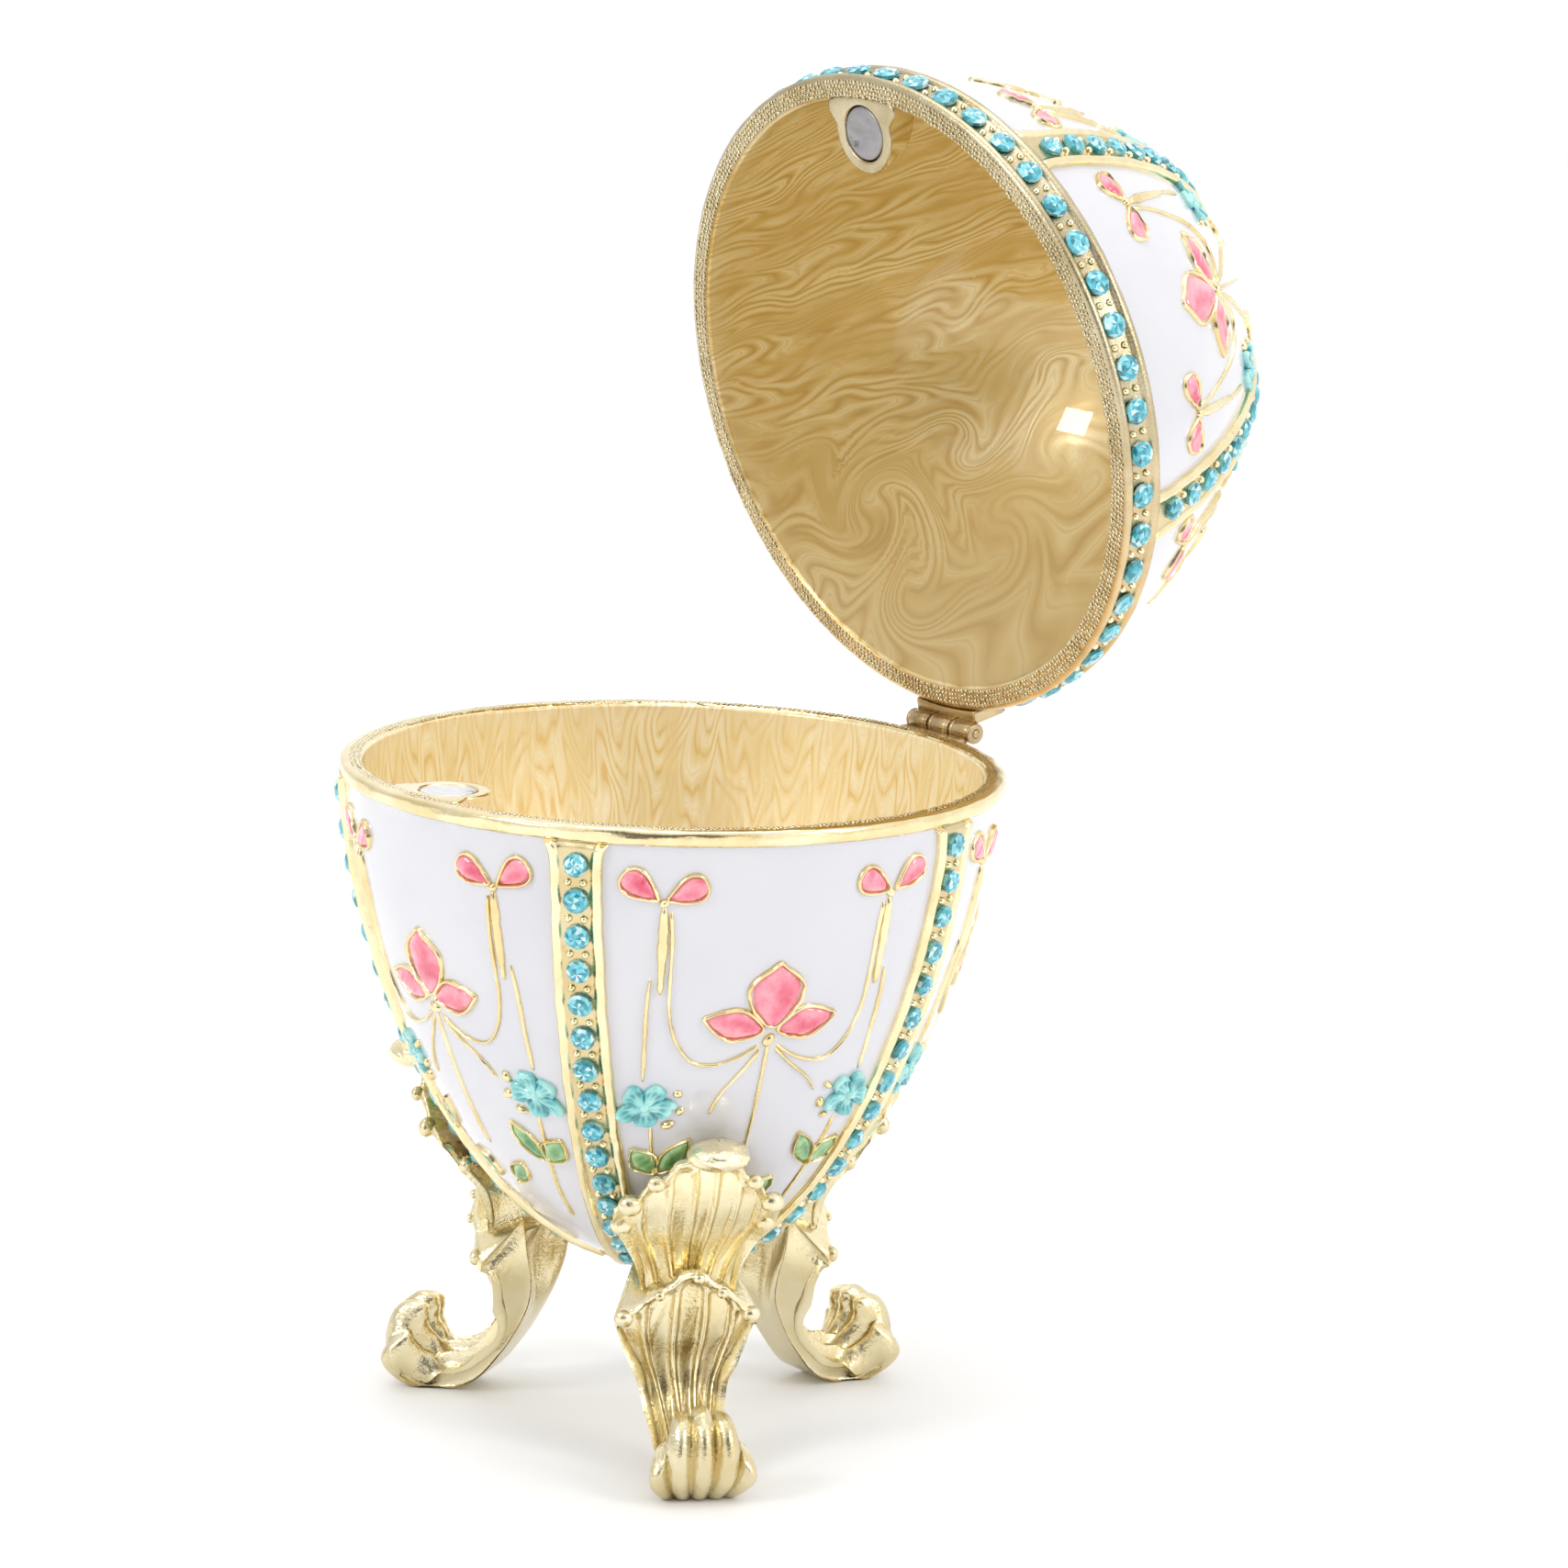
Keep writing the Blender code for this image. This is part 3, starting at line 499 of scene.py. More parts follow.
def shell_patch(half, rim):
    """A half of the egg turned round its axis: radius and z by rows, azimuth by columns.

    The rows go up the lining, over the rim and down the enamel to a plain gilt disc. The gilt rows
    have a slight hammered ripple. Core carries painted light: the lining is painted paler near the
    rim and, on the lid, toward the hinge, where more light falls, and the lid's gilt rim rows take
    a brighter tint toward the hinge.
    """
    turn = np.linspace(math.pi / 2, turn_at_depth(half, LINING_START), LINING_ROWS)
    lining = ((RIM_RADIUS - WALL) * np.abs(np.cos(turn)) ** (2 / half.pole_power)
              * (turn < math.pi / 2), (half.height - WALL) * np.sin(turn) ** (2 / half.rim_power))
    turn = np.linspace(turn_at_depth(half, rim[-1][1] + 0.03),
                       turn_at_radius(half, POLE_DISC_RADIUS), ENAMEL_ROWS)
    enamel_r, enamel_z = outline(half, turn)
    disc_r, rise = np.array(POLE_DISC).T
    disc_r, disc_z = outline(half, turn_at_radius(half, disc_r), rise)
    disc_r[-1] = 0.0
    parts = [lining, np.array(LINING_EDGE).T, np.array(rim).T,
             (enamel_r, half.side * (enamel_z - half.base)),
             (disc_r, half.side * (disc_z - half.base))]
    counts = [len(part[0]) for part in parts]
    radius, depth = np.concatenate(parts, axis=1)[:, :, None]
    azimuth, rows = circle(SHELL_COLUMNS), np.arange(sum(counts))[:, None]
    first, last = counts[0] + counts[1], sum(counts[:3])
    ripple = np.where((rows >= first) & (rows < last), HAMMERING[half.body], 0.0)
    radius = radius + ripple * waves(azimuth * 11, rows * 0.55)
    depth = depth + ripple * 0.7 * waves(azimuth * 13, rows * 0.4 + 1.0)
    points = xyz(radius * np.cos(azimuth), radius * np.sin(azimuth),
                 half.base + half.side * depth)
    # Painted light: the lid's low side toward the hinge and the lining near the rim are made paler,
    # as if more light fell there.
    painted_light_toward_hinge = np.clip((points[..., 1] + 4) / 30, 0, 1) ** 1.3 * (half is LID)
    painted_light_near_rim = np.clip(1 - depth / 3.5, 0, 1) ** 2
    core = np.where(rows < counts[0], np.clip(painted_light_near_rim + painted_light_toward_hinge, 0, 1), 0.0)
    core[first:last] = 0.7 * painted_light_toward_hinge[first:last]
    return Patch(points, finish=np.repeat([0, 0, 1, 2, 1], counts)[1:], core=core)


# The point, as (along, y), that the lid's streams fan out from, and the vortices that curl them
# near the hinge, as (along, y, size, turn).
LID_FAN = (-52.0, -4.0)
LID_VORTICES = ((-2.0, 17.0, 3.4, 2.6), (6.5, 13.0, 3.0, -2.4), (1.5, 22.5, 3.2, -2.8),
                (10.5, 20.0, 3.4, 2.6), (-9.0, 21.0, 3.2, 2.2), (16.0, 14.5, 3.0, 2.0),
                (-6.0, 12.0, 2.6, -1.8), (13.0, 7.5, 4.0, 1.0), (-15.0, 16.5, 3.0, -1.8))


def lid_flow(points):
    """The lid's streams fan out from a point outside its left side and sweep up to the right.
    Each vortex turns the points round itself by turn exp(-(distance / size)^2)."""
    x, y, z = points.T
    along = 0.63 * x + 0.14 * y + 0.76 * z
    for place, height, size, turn in LID_VORTICES:
        right, up = along - place, y - height
        turn = turn * peak(np.hypot(right, up), 0, size)
        along = place + right * np.cos(turn) - up * np.sin(turn)
        y = height + right * np.sin(turn) + up * np.cos(turn)
    y = y + 0.012 * (along + 20) ** 2 * np.clip((y + 22) / 30, 0, 1)
    away, up = along - LID_FAN[0], y - LID_FAN[1]
    return np.column_stack([away, up, -np.hypot(away, up)])


def bowl_flow(points):
    """The bowl's streams run down the wall, at their angles about the axis."""
    return points


LUG_Y = -24.9
LUG_RADIUS = 3.7
RIM_INNER_RADIUS = 28.3
# The lug's rows: inner radius, share of the way from it to the edge, depth below the rim, dip
# toward the opening, and shift back toward the wall.
LUG_ROWS = np.array([
    (0, 0, 2.4, 0, 0), (2.62, 0, 2.4, 0, 0), (2.62, 0, 0.5, 0, 0), (2.64, 0, 0.1, 0, 0),
    (2.74, 0, 0.02, 0, 0), (2.9, 0, 0, 0, 0), (2.9, 0.55, 0, 0.06, 0), (2.9, 0.85, 0.02, 0.06, 0),
    (2.9, 0.96, 0.09, 0.06, 0), (2.9, 1, 0.25, 0.06, 0), (0, 1, 0.6, 0, 0), (0, 0.99, 1.4, 0, 0),
    (0, 0.95, 2.3, 0, 0.2), (0, 0.85, 3.2, 0, 0.7), (0, 0.68, 4.2, 0, 1.4),
    (0, 0.45, 5.4, 0, 2.2), (0, 0.2, 6.4, 0, 2.9), (0, 0, 6.9, 0, 3.2)])
LUG_GILT_ROWS = 9
# Where round its outline, from the egg's axis, the lug starts to open, and over what angle.
LUG_OPENING = (math.radians(100), math.radians(30))


def lug_patch(half):
    """The magnet's lug: a boss round the pocket that flares into the rim and the wall.

    Its outline in plan is round, and opens toward the rim's inner edge with fillets. The top
    is flat with a rounded lip, and the lined side slopes back into the wall below.
    """
    angle = circle(96)
    fold = np.abs((angle + math.pi) % (2 * math.pi) - math.pi)
    middle = -LUG_Y * np.cos(fold)
    edge = middle + np.sqrt(middle ** 2 + RIM_INNER_RADIUS ** 2 - LUG_Y ** 2)
    opening = ease((fold - LUG_OPENING[0]) / LUG_OPENING[1])
    reach = LUG_RADIUS + (edge - LUG_RADIUS) * opening
    inner, share, depth, dip, back = LUG_ROWS.T[:, :, None]
    radius = inner + (reach - inner) * share
    finish = np.repeat([1, 0], [LUG_GILT_ROWS, len(LUG_ROWS) - 1 - LUG_GILT_ROWS])
    return Patch(xyz(radius * np.sin(angle), LUG_Y - back + radius * np.cos(angle),
                     half.base + half.side * (depth + dip * opening)), finish=finish)


for half, rim, lining, rim_gold, flow in ((BOWL, BOWL_RIM, BOWL_LINING, RIM_GOLD, bowl_flow),
                                          (LID, LID_RIM, LID_LINING, FACE_GOLD, lid_flow)):
    add_piece(half.body + "_shell", half, [shell_patch(half, rim), lug_patch(half)],
              [lining, rim_gold, WHITE_ENAMEL], [half.body], 60.0, flow)


# --- grain on the rim faces ----------------------------------------------------------------
# The flat rims are matted with a round punch, so that the closed halves don't glare. The lid's
# face is covered with fine grains, and the bowl's has lower ones that polishing has worn.

def ball(slopes, sides):
    """Rings of a ball of radius 1 at slopes in degrees: cos(slope) cos(spin), cos(slope)
    sin(spin) and sin(slope)."""
    slope, spin = np.radians(slopes)[:, None], circle(sides)
    return np.cos(slope) * np.cos(spin), np.cos(slope) * np.sin(spin), np.sin(slope)


# How far the grains keep from the middle of a lug.
GRAIN_CLEARANCE = 3.0


def grains(half, inner, outer, pitch, height, seed):
    """Small domes in rings on a rim face. Ring by ring, one dome for each pitch of arc, with
    uneven places and sizes."""
    chance = np.random.default_rng(seed)
    rings = np.arange(inner, outer, pitch * 0.87)
    counts = (2 * math.pi * rings / pitch).astype(int)
    ring = np.repeat(rings, counts)
    angle = np.concatenate([np.arange(count) * 2 * math.pi / count + shift
                            for shift, count in enumerate(counts)])
    ring = ring + chance.normal(0, pitch * 0.10, len(ring))
    angle = angle + chance.normal(0, pitch * 0.12, len(ring)) / ring
    size = pitch * 0.5 * chance.uniform(0.75, 1.12, len(ring))
    keep = np.hypot(ring * np.cos(angle), ring * np.sin(angle) - LUG_Y) > GRAIN_CLEARANCE
    ring, angle, size = (row[keep, None, None] for row in (ring, angle, size))
    u, v, w = ball((-60.0, 5.0, 45.0, 90.0), 6)
    points = xyz(ring * np.cos(angle) + size * u, ring * np.sin(angle) + size * v,
                 half.base - half.side * height * (size / pitch * 2) * w)
    points[:, 0] = points[:, 0].mean(axis=1, keepdims=True)
    return Patch(points)


GRAIN_GOLD = gilt("grain_gold", (0.72, 0.64, 0.44), (0.52, 0.43, 0.25),
                  tarnish=0.35, polish=0.15, grain=4.0, relief=0.02)
add_piece("lid_rim_grains", LID,
          [grains(LID, inner=28.45, outer=29.85, pitch=0.46, height=0.17, seed=3)],
          [GRAIN_GOLD])
add_piece("bowl_rim_grains", BOWL,
          [grains(BOWL, inner=28.55, outer=29.3, pitch=0.5, height=0.09, seed=5)],
          [GRAIN_GOLD])


# --- the stripes ---------------------------------------------------------------------------
# Ten raised straps of the casting divide the enamel into panels, five on each half. Each is a
# shallow channel for the stones between two smooth rails, cast with the shell and gilt.

REAR = 90.0
STRIPE_AZIMUTHS = [REAR, 162.0, 234.0, 306.0, 18.0]
# Depths at which stripes start: at the bowl's rim, below its hinge, and below the lid's stones.
BOWL_START, HINGE_START, LID_START = 1.6, 5.4, 4.3
STRIPE_STOP_RADIUS = 5.0
REAR_STOP_DEPTH = 26.0
STRIPE_STEP = 0.4
# How deep a stripe's foot lies in the enamel, and how far it runs in under the rim.
STRIPE_FOOT, STRIPE_LEAD = 0.3, 0.3
# Half a section as (across, rise above the enamel), from the foot of the rail to the middle.
STRIPE_SECTION = np.array([
    (2.27, -STRIPE_FOOT), (2.27, 0.25), (2.2, 0.5), (2.05, 0.64), (1.85, 0.7), (1.62, 0.66),
    (1.46, 0.54), (1.38, 0.4), (1.2, 0.34), (0.6, 0.32), (0.0, 0.32)])


def stripe_runs(half, azimuth):
    """Where a stripe starts and stops along the meridian. They run from the rim to the disc at
    the pole; below the hinge they start lower, and the bowl's rear one ends over the leg."""
    start = turn_at_depth(half, BOWL_START if half is BOWL else LID_START)
    stop = turn_at_radius(half, STRIPE_STOP_RADIUS)
    if half is BOWL and azimuth == REAR:
        start, stop = turn_at_depth(half, HINGE_START), turn_at_depth(half, REAR_STOP_DEPTH)
    return run_at(half, start), run_at(half, stop)


def stripe_patch(half, azimuth):
    """The section carried down the meridian: across and rise by columns, run by rows. The rails
    wander a little, and widen where they meet the rim."""
    start, stop = stripe_runs(half, azimuth)
    place, level = np.vstack([STRIPE_SECTION * (-1, 1), STRIPE_SECTION[-2::-1]]).T
    run = np.linspace(start - STRIPE_LEAD, stop, int((stop - start) / STRIPE_STEP))[:, None]
    flare = np.exp(-(run - start) / 0.7) * 0.25
    wander = 0.05 * waves(run * 0.55 + azimuth, np.sign(place) * 2.0)
    across = place * (1 + flare) + wander * (np.abs(place) > 0.7)
    rise = level + 0.035 * waves(run * 0.8, place * 1.5 + azimuth)
    ends = np.clip(np.minimum(run - start + STRIPE_LEAD, stop - run) / 0.35, 0, 1) ** 0.5
    # Painted shade: the channel's floor between the rails is darkened through core.
    floor = (np.abs(place) < 1.5) & (level < 0.45)
    rise = -STRIPE_FOOT + (rise + STRIPE_FOOT) * ends
    return Patch(on_egg(half, azimuth, across, run, rise), core=floor * 0.45)


STRIPE_GOLD = gilt("stripe_gold", (0.93, 0.83, 0.55), (0.80, 0.66, 0.36),
                   tarnish=0.16, polish=0.20, grain=2.2, relief=0.03)
for half in (BOWL, LID):
    add_piece(half.body + "_stripes", half,
              [stripe_patch(half, azimuth) for azimuth in STRIPE_AZIMUTHS],
              [STRIPE_GOLD], [half.body], 60.0)


# --- stones and beads ----------------------------------------------------------------------
# Foiled blue-green chatons of pressed glass, cemented into the channels one by one, with a pair
# of small gilt beads between neighbours. One row goes down each stripe and one round the lid.

STONE_PITCH = 3.3
STONE_END = 1.78
LID_STONE_START = 5.4
STRIPE_STONE_RADIUS = 1.08
RIM_STONE_RADIUS = 1.18
RIM_STONES = 48
RIM_CHANNEL = 2.05
BEAD_RADIUS = 0.36
# Beads on the stripes and round the rim: distance from the middle, foot and height.
STRIPE_BEADS, RIM_BEADS = (0.68, 0.36, 0.34), (0.62, 0.28, 0.30)
# A stone's rings: share of the radius, height above the enamel, twist in sides.
STONE_RINGS = [(0.0, 1.06, 0.0), (0.50, 1.05, 0.0), (0.80, 0.91, 0.5), (1.0, 0.66, 0.0),
               (0.97, 0.30, 0.0), (0.0, 0.25, 0.0)]
STONE_SIDES = 12


def stone_runs(half, azimuth):
    """Middles of a stripe's stones along the meridian, evenly pitched from the rim's end."""
    start, stop = stripe_runs(half, azimuth)
    if half is LID:
        start = run_at(LID, turn_at_depth(LID, LID_STONE_START))
    return np.arange(start + STONE_END, stop - STONE_END, STONE_PITCH)


def chatons(chance, count, radius, sizes, tilt, level):
    """Faceted stones about their own middles. Ring k has the radius share_k R, turned by half a
    side where the crown's facets cross over, and each stone leans a little."""
    share, height, twist = np.array(STONE_RINGS).T[:, :, None]
    spin = ((np.arange(STONE_SIDES) + twist) * 2 * math.pi / STONE_SIDES
            + chance.uniform(0, 1, (count, 1, 1)))
    reach = share * radius * (chance.uniform(*sizes, (count, 1, 1)) if sizes else 1.0)
    u, v = reach * np.cos(spin), reach * np.sin(spin)
    tilt_a, tilt_b = chance.normal(0, tilt, (2, count, 1, 1))
    return u, v, height * level + tilt_a * u + tilt_b * v


def set_stones(half, azimuth, seed):
    """A stripe's stones, set on the enamel's own surface a little off the line."""
    chance = np.random.default_rng(seed)
    runs = stone_runs(half, azimuth)[:, None, None]
    u, v, rise = chatons(chance, len(runs), STRIPE_STONE_RADIUS, (0.95, 1.03), 0.035, 1.0)
    slip, slide = chance.normal(0, 0.05, (2, len(runs), 1, 1))
    return Patch(on_egg(half, azimuth, u + slip, runs + v + slide, rise))


def rim_points(steps, across, height, rise):
    """Points on the lid's rim channel, at steps of one stone's pitch from the hinge: across as
    an arc, height above the channel's middle, rise outward."""
    foot = RIM_RADIUS - 0.3
    turn = np.radians(90.0 + 360.0 / RIM_STONES * steps)[:, None, None] + across / foot
    return xyz((foot + rise) * np.cos(turn), (foot + rise) * np.sin(turn),
               LID.base + (RIM_CHANNEL + height))


def set_rim_stones():
    """The stones round the lid's rim, in the channel's middle, with a break at the hinge."""
    steps = np.arange(1, RIM_STONES - 1) + 0.5
    u, v, rise = chatons(np.random.default_rng(11), len(steps), RIM_STONE_RADIUS, None, 0.04, 0.9)
    return Patch(rim_points(steps, u, v, rise))


def bead_patches(half):
    """Two beads side by side between neighbouring stones, and on the lid round its rim too."""
    patches = []
    u, v, w = ball((-75.0, 0.0, 35.0, 65.0, 90.0), 7)
    u, v = BEAD_RADIUS * u, BEAD_RADIUS * v
    aside, foot, height = STRIPE_BEADS
    for azimuth in STRIPE_AZIMUTHS:
        runs = stone_runs(half, azimuth)[:, None, None] + STONE_PITCH / 2
        patches += [Patch(on_egg(half, azimuth, side + u, runs + v, foot + height * w))
                    for side in (-aside, aside)]
    if half is LID:
        aside, foot, height = RIM_BEADS
        patches += [Patch(rim_points(np.arange(2, RIM_STONES - 1), u, side + v, foot + height * w))
                    for side in (-aside, aside)]
    return patches


def blue_glass():
    """Foiled blue-green glass: each facet gets its own tone, from deep teal to white, a painted
    reflection over the stone's own teal.
    """
    material, shader = new_material("blue_glass", Roughness=0.03, IOR=1.56, Coat_Weight=0.6,
                                    Transmission_Weight=0.15, Coat_Roughness=0.02)
    tone = plus(mark_on(shader, "facet"), times(noise(place_on(shader), 900.0), 0.4))
    # Painted reflections: each facet's random number picks a tone from dark teal to near white.
    feed(shader, Base_Color=ramp(
        tone, (0.10, (0.008, 0.13, 0.17)), (0.34, (0.025, 0.31, 0.39)),
        (0.62, (0.08, 0.50, 0.61)), (0.86, (0.26, 0.74, 0.83)), (1.0, (0.80, 0.97, 1.0))))
    return material


BLUE_GLASS = blue_glass()


def add_stones(name, half, stones, node, seed):
    """A row of stones, with a number for each facet that decides how bright its painted reflection
    is.
    """
    row = add_piece(name, half, [stones], [BLUE_GLASS], [node], 0)
    facet = row.data.attributes.new("facet", "FLOAT", "FACE")
    chance = np.random.default_rng(seed)
    facet.data.foreach_set("value", chance.uniform(0, 0.8, len(row.data.polygons)))


for half in (BOWL, LID):
    for index, azimuth in enumerate(STRIPE_AZIMUTHS, 1):
        add_stones("%s_stones_%d" % (half.body, index), half, set_stones(half, azimuth, index),
                   "%s_stone_row_%d" % (half.body, index), index)
    add_piece(half.body + "_beads", half, bead_patches(half), [STRIPE_GOLD])
add_stones("lid_rim_stones_set", LID, set_rim_stones(), "lid_rim_stones", 20)


# --- wires, petals, flowers and leaves -------------------------------------------------------
# Raised gilt lines of the casting draw a plant on each panel. Their cells are filled with
# translucent pink and green enamel, and small turquoise flower heads are cast on and enamelled.

PANEL_AZIMUTHS = [54.0, 126.0, 198.0, 270.0, 342.0]
# A panel's plant, as (across, depth from the rim) points. All but the fans and the middle petal
# are drawn on one half and mirrored. A petal is (foot, tip, width).
Plant = namedtuple("Plant", "stem strand loop fans sprouts trefoil knot flower buds leaves twig")
BOWL_PLANT = Plant(
    stem=[(10.4, 6.5), (10.25, 9.0), (10.1, 12.0), (9.9, 15.3)],
    strand=[(10.9, 13.2), (10.9, 16.0), (10.6, 19.5), (10.1, 23.8)],
    loop=[(9.8, 6.9), (9.4, 10.0), (9.2, 13.5), (8.9, 16.6), (8.0, 19.3), (6.5, 21.2),
          (4.8, 21.7), (2.6, 21.1), (0.5, 19.7)],
    fans=[[(-0.5, 20.0), (-1.6, 21.9), (-3.4, 24.6), (-4.1, 27.0)], [(0.0, 19.6), (0.0, 33.0)],
          [(0.5, 20.0), (2.4, 21.8), (4.5, 23.5), (5.8, 25.3)]],
    sprouts=[((10.2, 6.2), (6.9, 4.6), 2.3), ((10.9, 6.2), (14.1, 4.0), 2.3)],
    trefoil=[((0.1, 18.2), (0.1, 12.0), 4.8), ((0.6, 18.4), (6.1, 17.2), 2.9)],
    knot=(0.0, 19.4),
    flower=(9.5, 25.9),
    buds=[(6.9, 24.6), (6.4, 26.3), (7.2, 27.7)],
    leaves=[((6.9, 32.9), (5.0, 29.2), 2.0), ((7.2, 32.9), (9.8, 30.4), 2.2),
            ((1.3, 36.2), (3.6, 33.8), 1.9)],
    twig=[(8.7, 27.8), (7.6, 31.8), (6.2, 35.6), (5.0, 39.4)])
LID_PLANT = Plant(
    stem=[(10.4, 12.1), (10.5, 14.6), (10.4, 17.0), (10.2, 19.4)],
    strand=[(10.4, 18.6), (10.2, 20.4), (9.6, 22.6)],
    loop=[(9.8, 12.4), (9.3, 14.6), (8.4, 16.8), (7.2, 19.4), (5.6, 21.4), (3.8, 22.2),
          (2.0, 21.8), (0.4, 20.9)],
    fans=[[(-0.4, 21.2), (-1.4, 23.2), (-2.8, 25.4), (-3.6, 27.4)], [(0.0, 20.6), (0.0, 29.5)],
          [(0.4, 21.2), (1.4, 23.2), (2.8, 25.4), (3.6, 27.4)]],
    sprouts=[((10.0, 12.0), (6.7, 11.0), 2.3), ((10.7, 12.0), (13.8, 10.6), 2.3)],
    trefoil=[((0.1, 19.6), (0.1, 13.2), 4.6), ((0.6, 19.8), (5.9, 18.2), 2.9)],
    knot=(0.0, 20.6),
    flower=(8.6, 25.4),
    buds=[(6.3, 24.2), (6.0, 25.9)],
    leaves=[((4.8, 30.0), (3.9, 27.3), 1.6), ((5.0, 30.0), (6.8, 28.2), 1.7)],
    twig=[(7.6, 26.8), (5.0, 29.6), (2.9, 31.6)])
# Half-width of the middle petal and of a leaf: (share of the length, share of the half-width).
OGEE = [(0.0, 0.0), (0.10, 0.34), (0.28, 0.74), (0.50, 0.98), (0.66, 0.97), (0.80, 0.66),
        (0.90, 0.26), (1.0, 0.0)]
LEAF = [(0.0, 0.0), (0.12, 0.42), (0.35, 0.92), (0.55, 0.98), (0.78, 0.58), (0.92, 0.18),
        (1.0, 0.0)]
# How deep the feet of a wire and of a pool lie in the enamel.
WIRE_FOOT, POOL_FOOT = 0.22, 0.15
EDGE_HEIGHT = 0.36
FLOWER_RADIUS = 2.45
# A flower head's rings: share of the radius, level above the enamel.
FLOWER_RINGS = [(0.0, -0.2), (1.0, -0.2), (1.04, 0.1), (1.02, 0.36), (0.96, 0.52), (0.88, 0.54),
                (0.80, 0.44), (0.70, 0.34), (0.60, 0.30), (0.50, 0.32), (0.40, 0.40),
                (0.32, 0.46), (0.0, 0.46)]


def to_run(half, points):
    """(across, depth) points as (across, run along the meridian)."""
    across, depth = np.array(points, dtype=float).T
    return np.column_stack([across, run_at(half, turn_at_depth(half, depth))])


def curve_at(table, place):
    """A Catmull-Rom curve through a table's rows, at places counted in rows."""
    table = np.asarray(table, dtype=float)
    rows = np.vstack([2 * table[0] - table[1], table, 2 * table[-1] - table[-2]])
    index = np.minimum(place.astype(int), len(table) - 2)
    t = (place - index)[..., None]
    a, b, c, d = (rows[index + shift] for shift in range(4))
    return 0.5 * (2 * b + (c - a) * t + (2 * a - 5 * b + 4 * c - d) * t ** 2
                  + (3 * b - a - 3 * c + d) * t ** 3)


def even_points(line, count, endpoint=True):
    """A line of points drawn again in even steps."""
    length = length_along(line)
    even = np.linspace(0, length[-1], count, endpoint=endpoint)
    return np.column_stack([np.interp(even, length, column) for column in line.T])


def smooth_path(points, step):
    """Even stations on a Catmull-Rom curve through the points."""
    curve = curve_at(points, np.linspace(0, len(points) - 1, 40 * len(points)))
    return even_points(curve, max(int(length_along(curve)[-1] / step), 4))


def at_length_one(vectors):
    """Vectors scaled to length one."""
    return vectors / np.linalg.norm(vectors, axis=-1, keepdims=True)


def wire(half, azimuth, path, width, height, closed=False):
    """A half-round raised line along a path on the enamel, uneven as if piped on.

    Across the path a point lies at width cos(a) to the side and height sin(a) up; the last two
    points are sunk in the enamel. Open ends taper to a point.
    """
    ahead = np.gradient(path, axis=0)
    if closed:
        ahead = np.roll(path, -1, axis=0) - np.roll(path, 1, axis=0)
    side = at_length_one(ahead)[:, ::-1] * (-1, 1)
    share = np.linspace(0, 1, len(path))
    width = np.interp(share, np.linspace(0, 1, np.size(width)), np.atleast_1d(width))
    width = width * (1 + 0.16 * waves(path[:, 0] * 1.3 + azimuth, path[:, 1] * 1.1))
    height = height * (1 + 0.18 * waves(path[:, 0] * 0.9, path[:, 1] * 1.4 + azimuth))
    taper = np.clip(np.minimum(share, 1 - share) * len(path) / 2.2, 0, 1) ** 0.6
    taper = np.ones(len(path)) if closed else taper
    angle = np.linspace(0, math.pi, 6)
    out = np.concatenate([np.cos(angle), [-0.9, 0.9]])
    up = np.concatenate([np.sin(angle), [0.0, 0.0]]) * height[:, None]
    up[:, -2:] = -WIRE_FOOT
    reach = (width * taper)[:, None] * out
    rise = -WIRE_FOOT + (up + WIRE_FOOT) * taper[:, None]
    return Patch(on_egg(half, azimuth, path[:, 0:1] + side[:, 0:1] * reach,
                        path[:, 1:2] + side[:, 1:2] * reach, rise), wrap_rows=closed)


def cell(half, azimuth, foot, tip, width, form, puff, thick):
    """A petal or leaf: its pool of enamel, and the raised line round it.

    The pool's rows go from foot to tip and its columns make a lens across. Core is 1 where it
    lies deep. Its half-width goes through the points of its form or, without one, as
    s^1.2 sqrt(1 - s), so it is pointed at the foot and round at the tip.
    """
    s = np.linspace(0, 1, 34)
    if form is None:
        s = 1 - (1 - s) ** 1.7
        reach = s ** 1.2 * np.sqrt(1 - s) / 0.357
    else:
        reach = np.clip(np.interp(s, *smooth_path(form, 0.02).T), 0, None)
    s, reach = s[:, None], (width / 2 * reach)[:, None]
    middle = foot + s * (tip - foot)
    side = at_length_one(tip - foot)[::-1] * (-1, 1)
    top, under = np.linspace(-1, 1, 13), np.linspace(0.8, -0.8, 5)
    t = np.concatenate([top, under])
    dome = np.clip(1 - t ** 4, 0, 1) * (np.arange(len(t)) < len(top)) * np.clip(reach / 0.6, 0, 1)
    across, run = middle[:, 0:1] + side[0] * reach * t, middle[:, 1:2] + side[1] * reach * t
    rise = (POOL_FOOT + puff * (1 + 0.12 * waves(across * 1.7, run * 1.3))) * dome - POOL_FOOT
    pool = Patch(on_egg(half, azimuth, across, run, rise),
                 core=0.75 * peak(t, 0.2, 0.55) * peak(s, 0.45, 0.36))
    edge = side * (reach + 0.5 * thick)
    loop = even_points(np.vstack([middle + edge, (middle - edge)[::-1]]), 56, False)
    loop = 0.5 * loop + 0.25 * (np.roll(loop, 1, axis=0) + np.roll(loop, -1, axis=0))
    return pool, wire(half, azimuth, loop, thick, EDGE_HEIGHT, closed=True)


def dome(half, azimuth, centre, size, height, turn, squash):
    """A small round or oval bead on the enamel."""
    u, v, w = ball((-70.0, 0.0, 25.0, 50.0, 72.0, 90.0), 12)
    u, v = size * u, size * squash * v
    return Patch(on_egg(half, azimuth, centre[0] + u * math.cos(turn) - v * math.sin(turn),
                        centre[1] + u * math.sin(turn) + v * math.cos(turn), height * w))


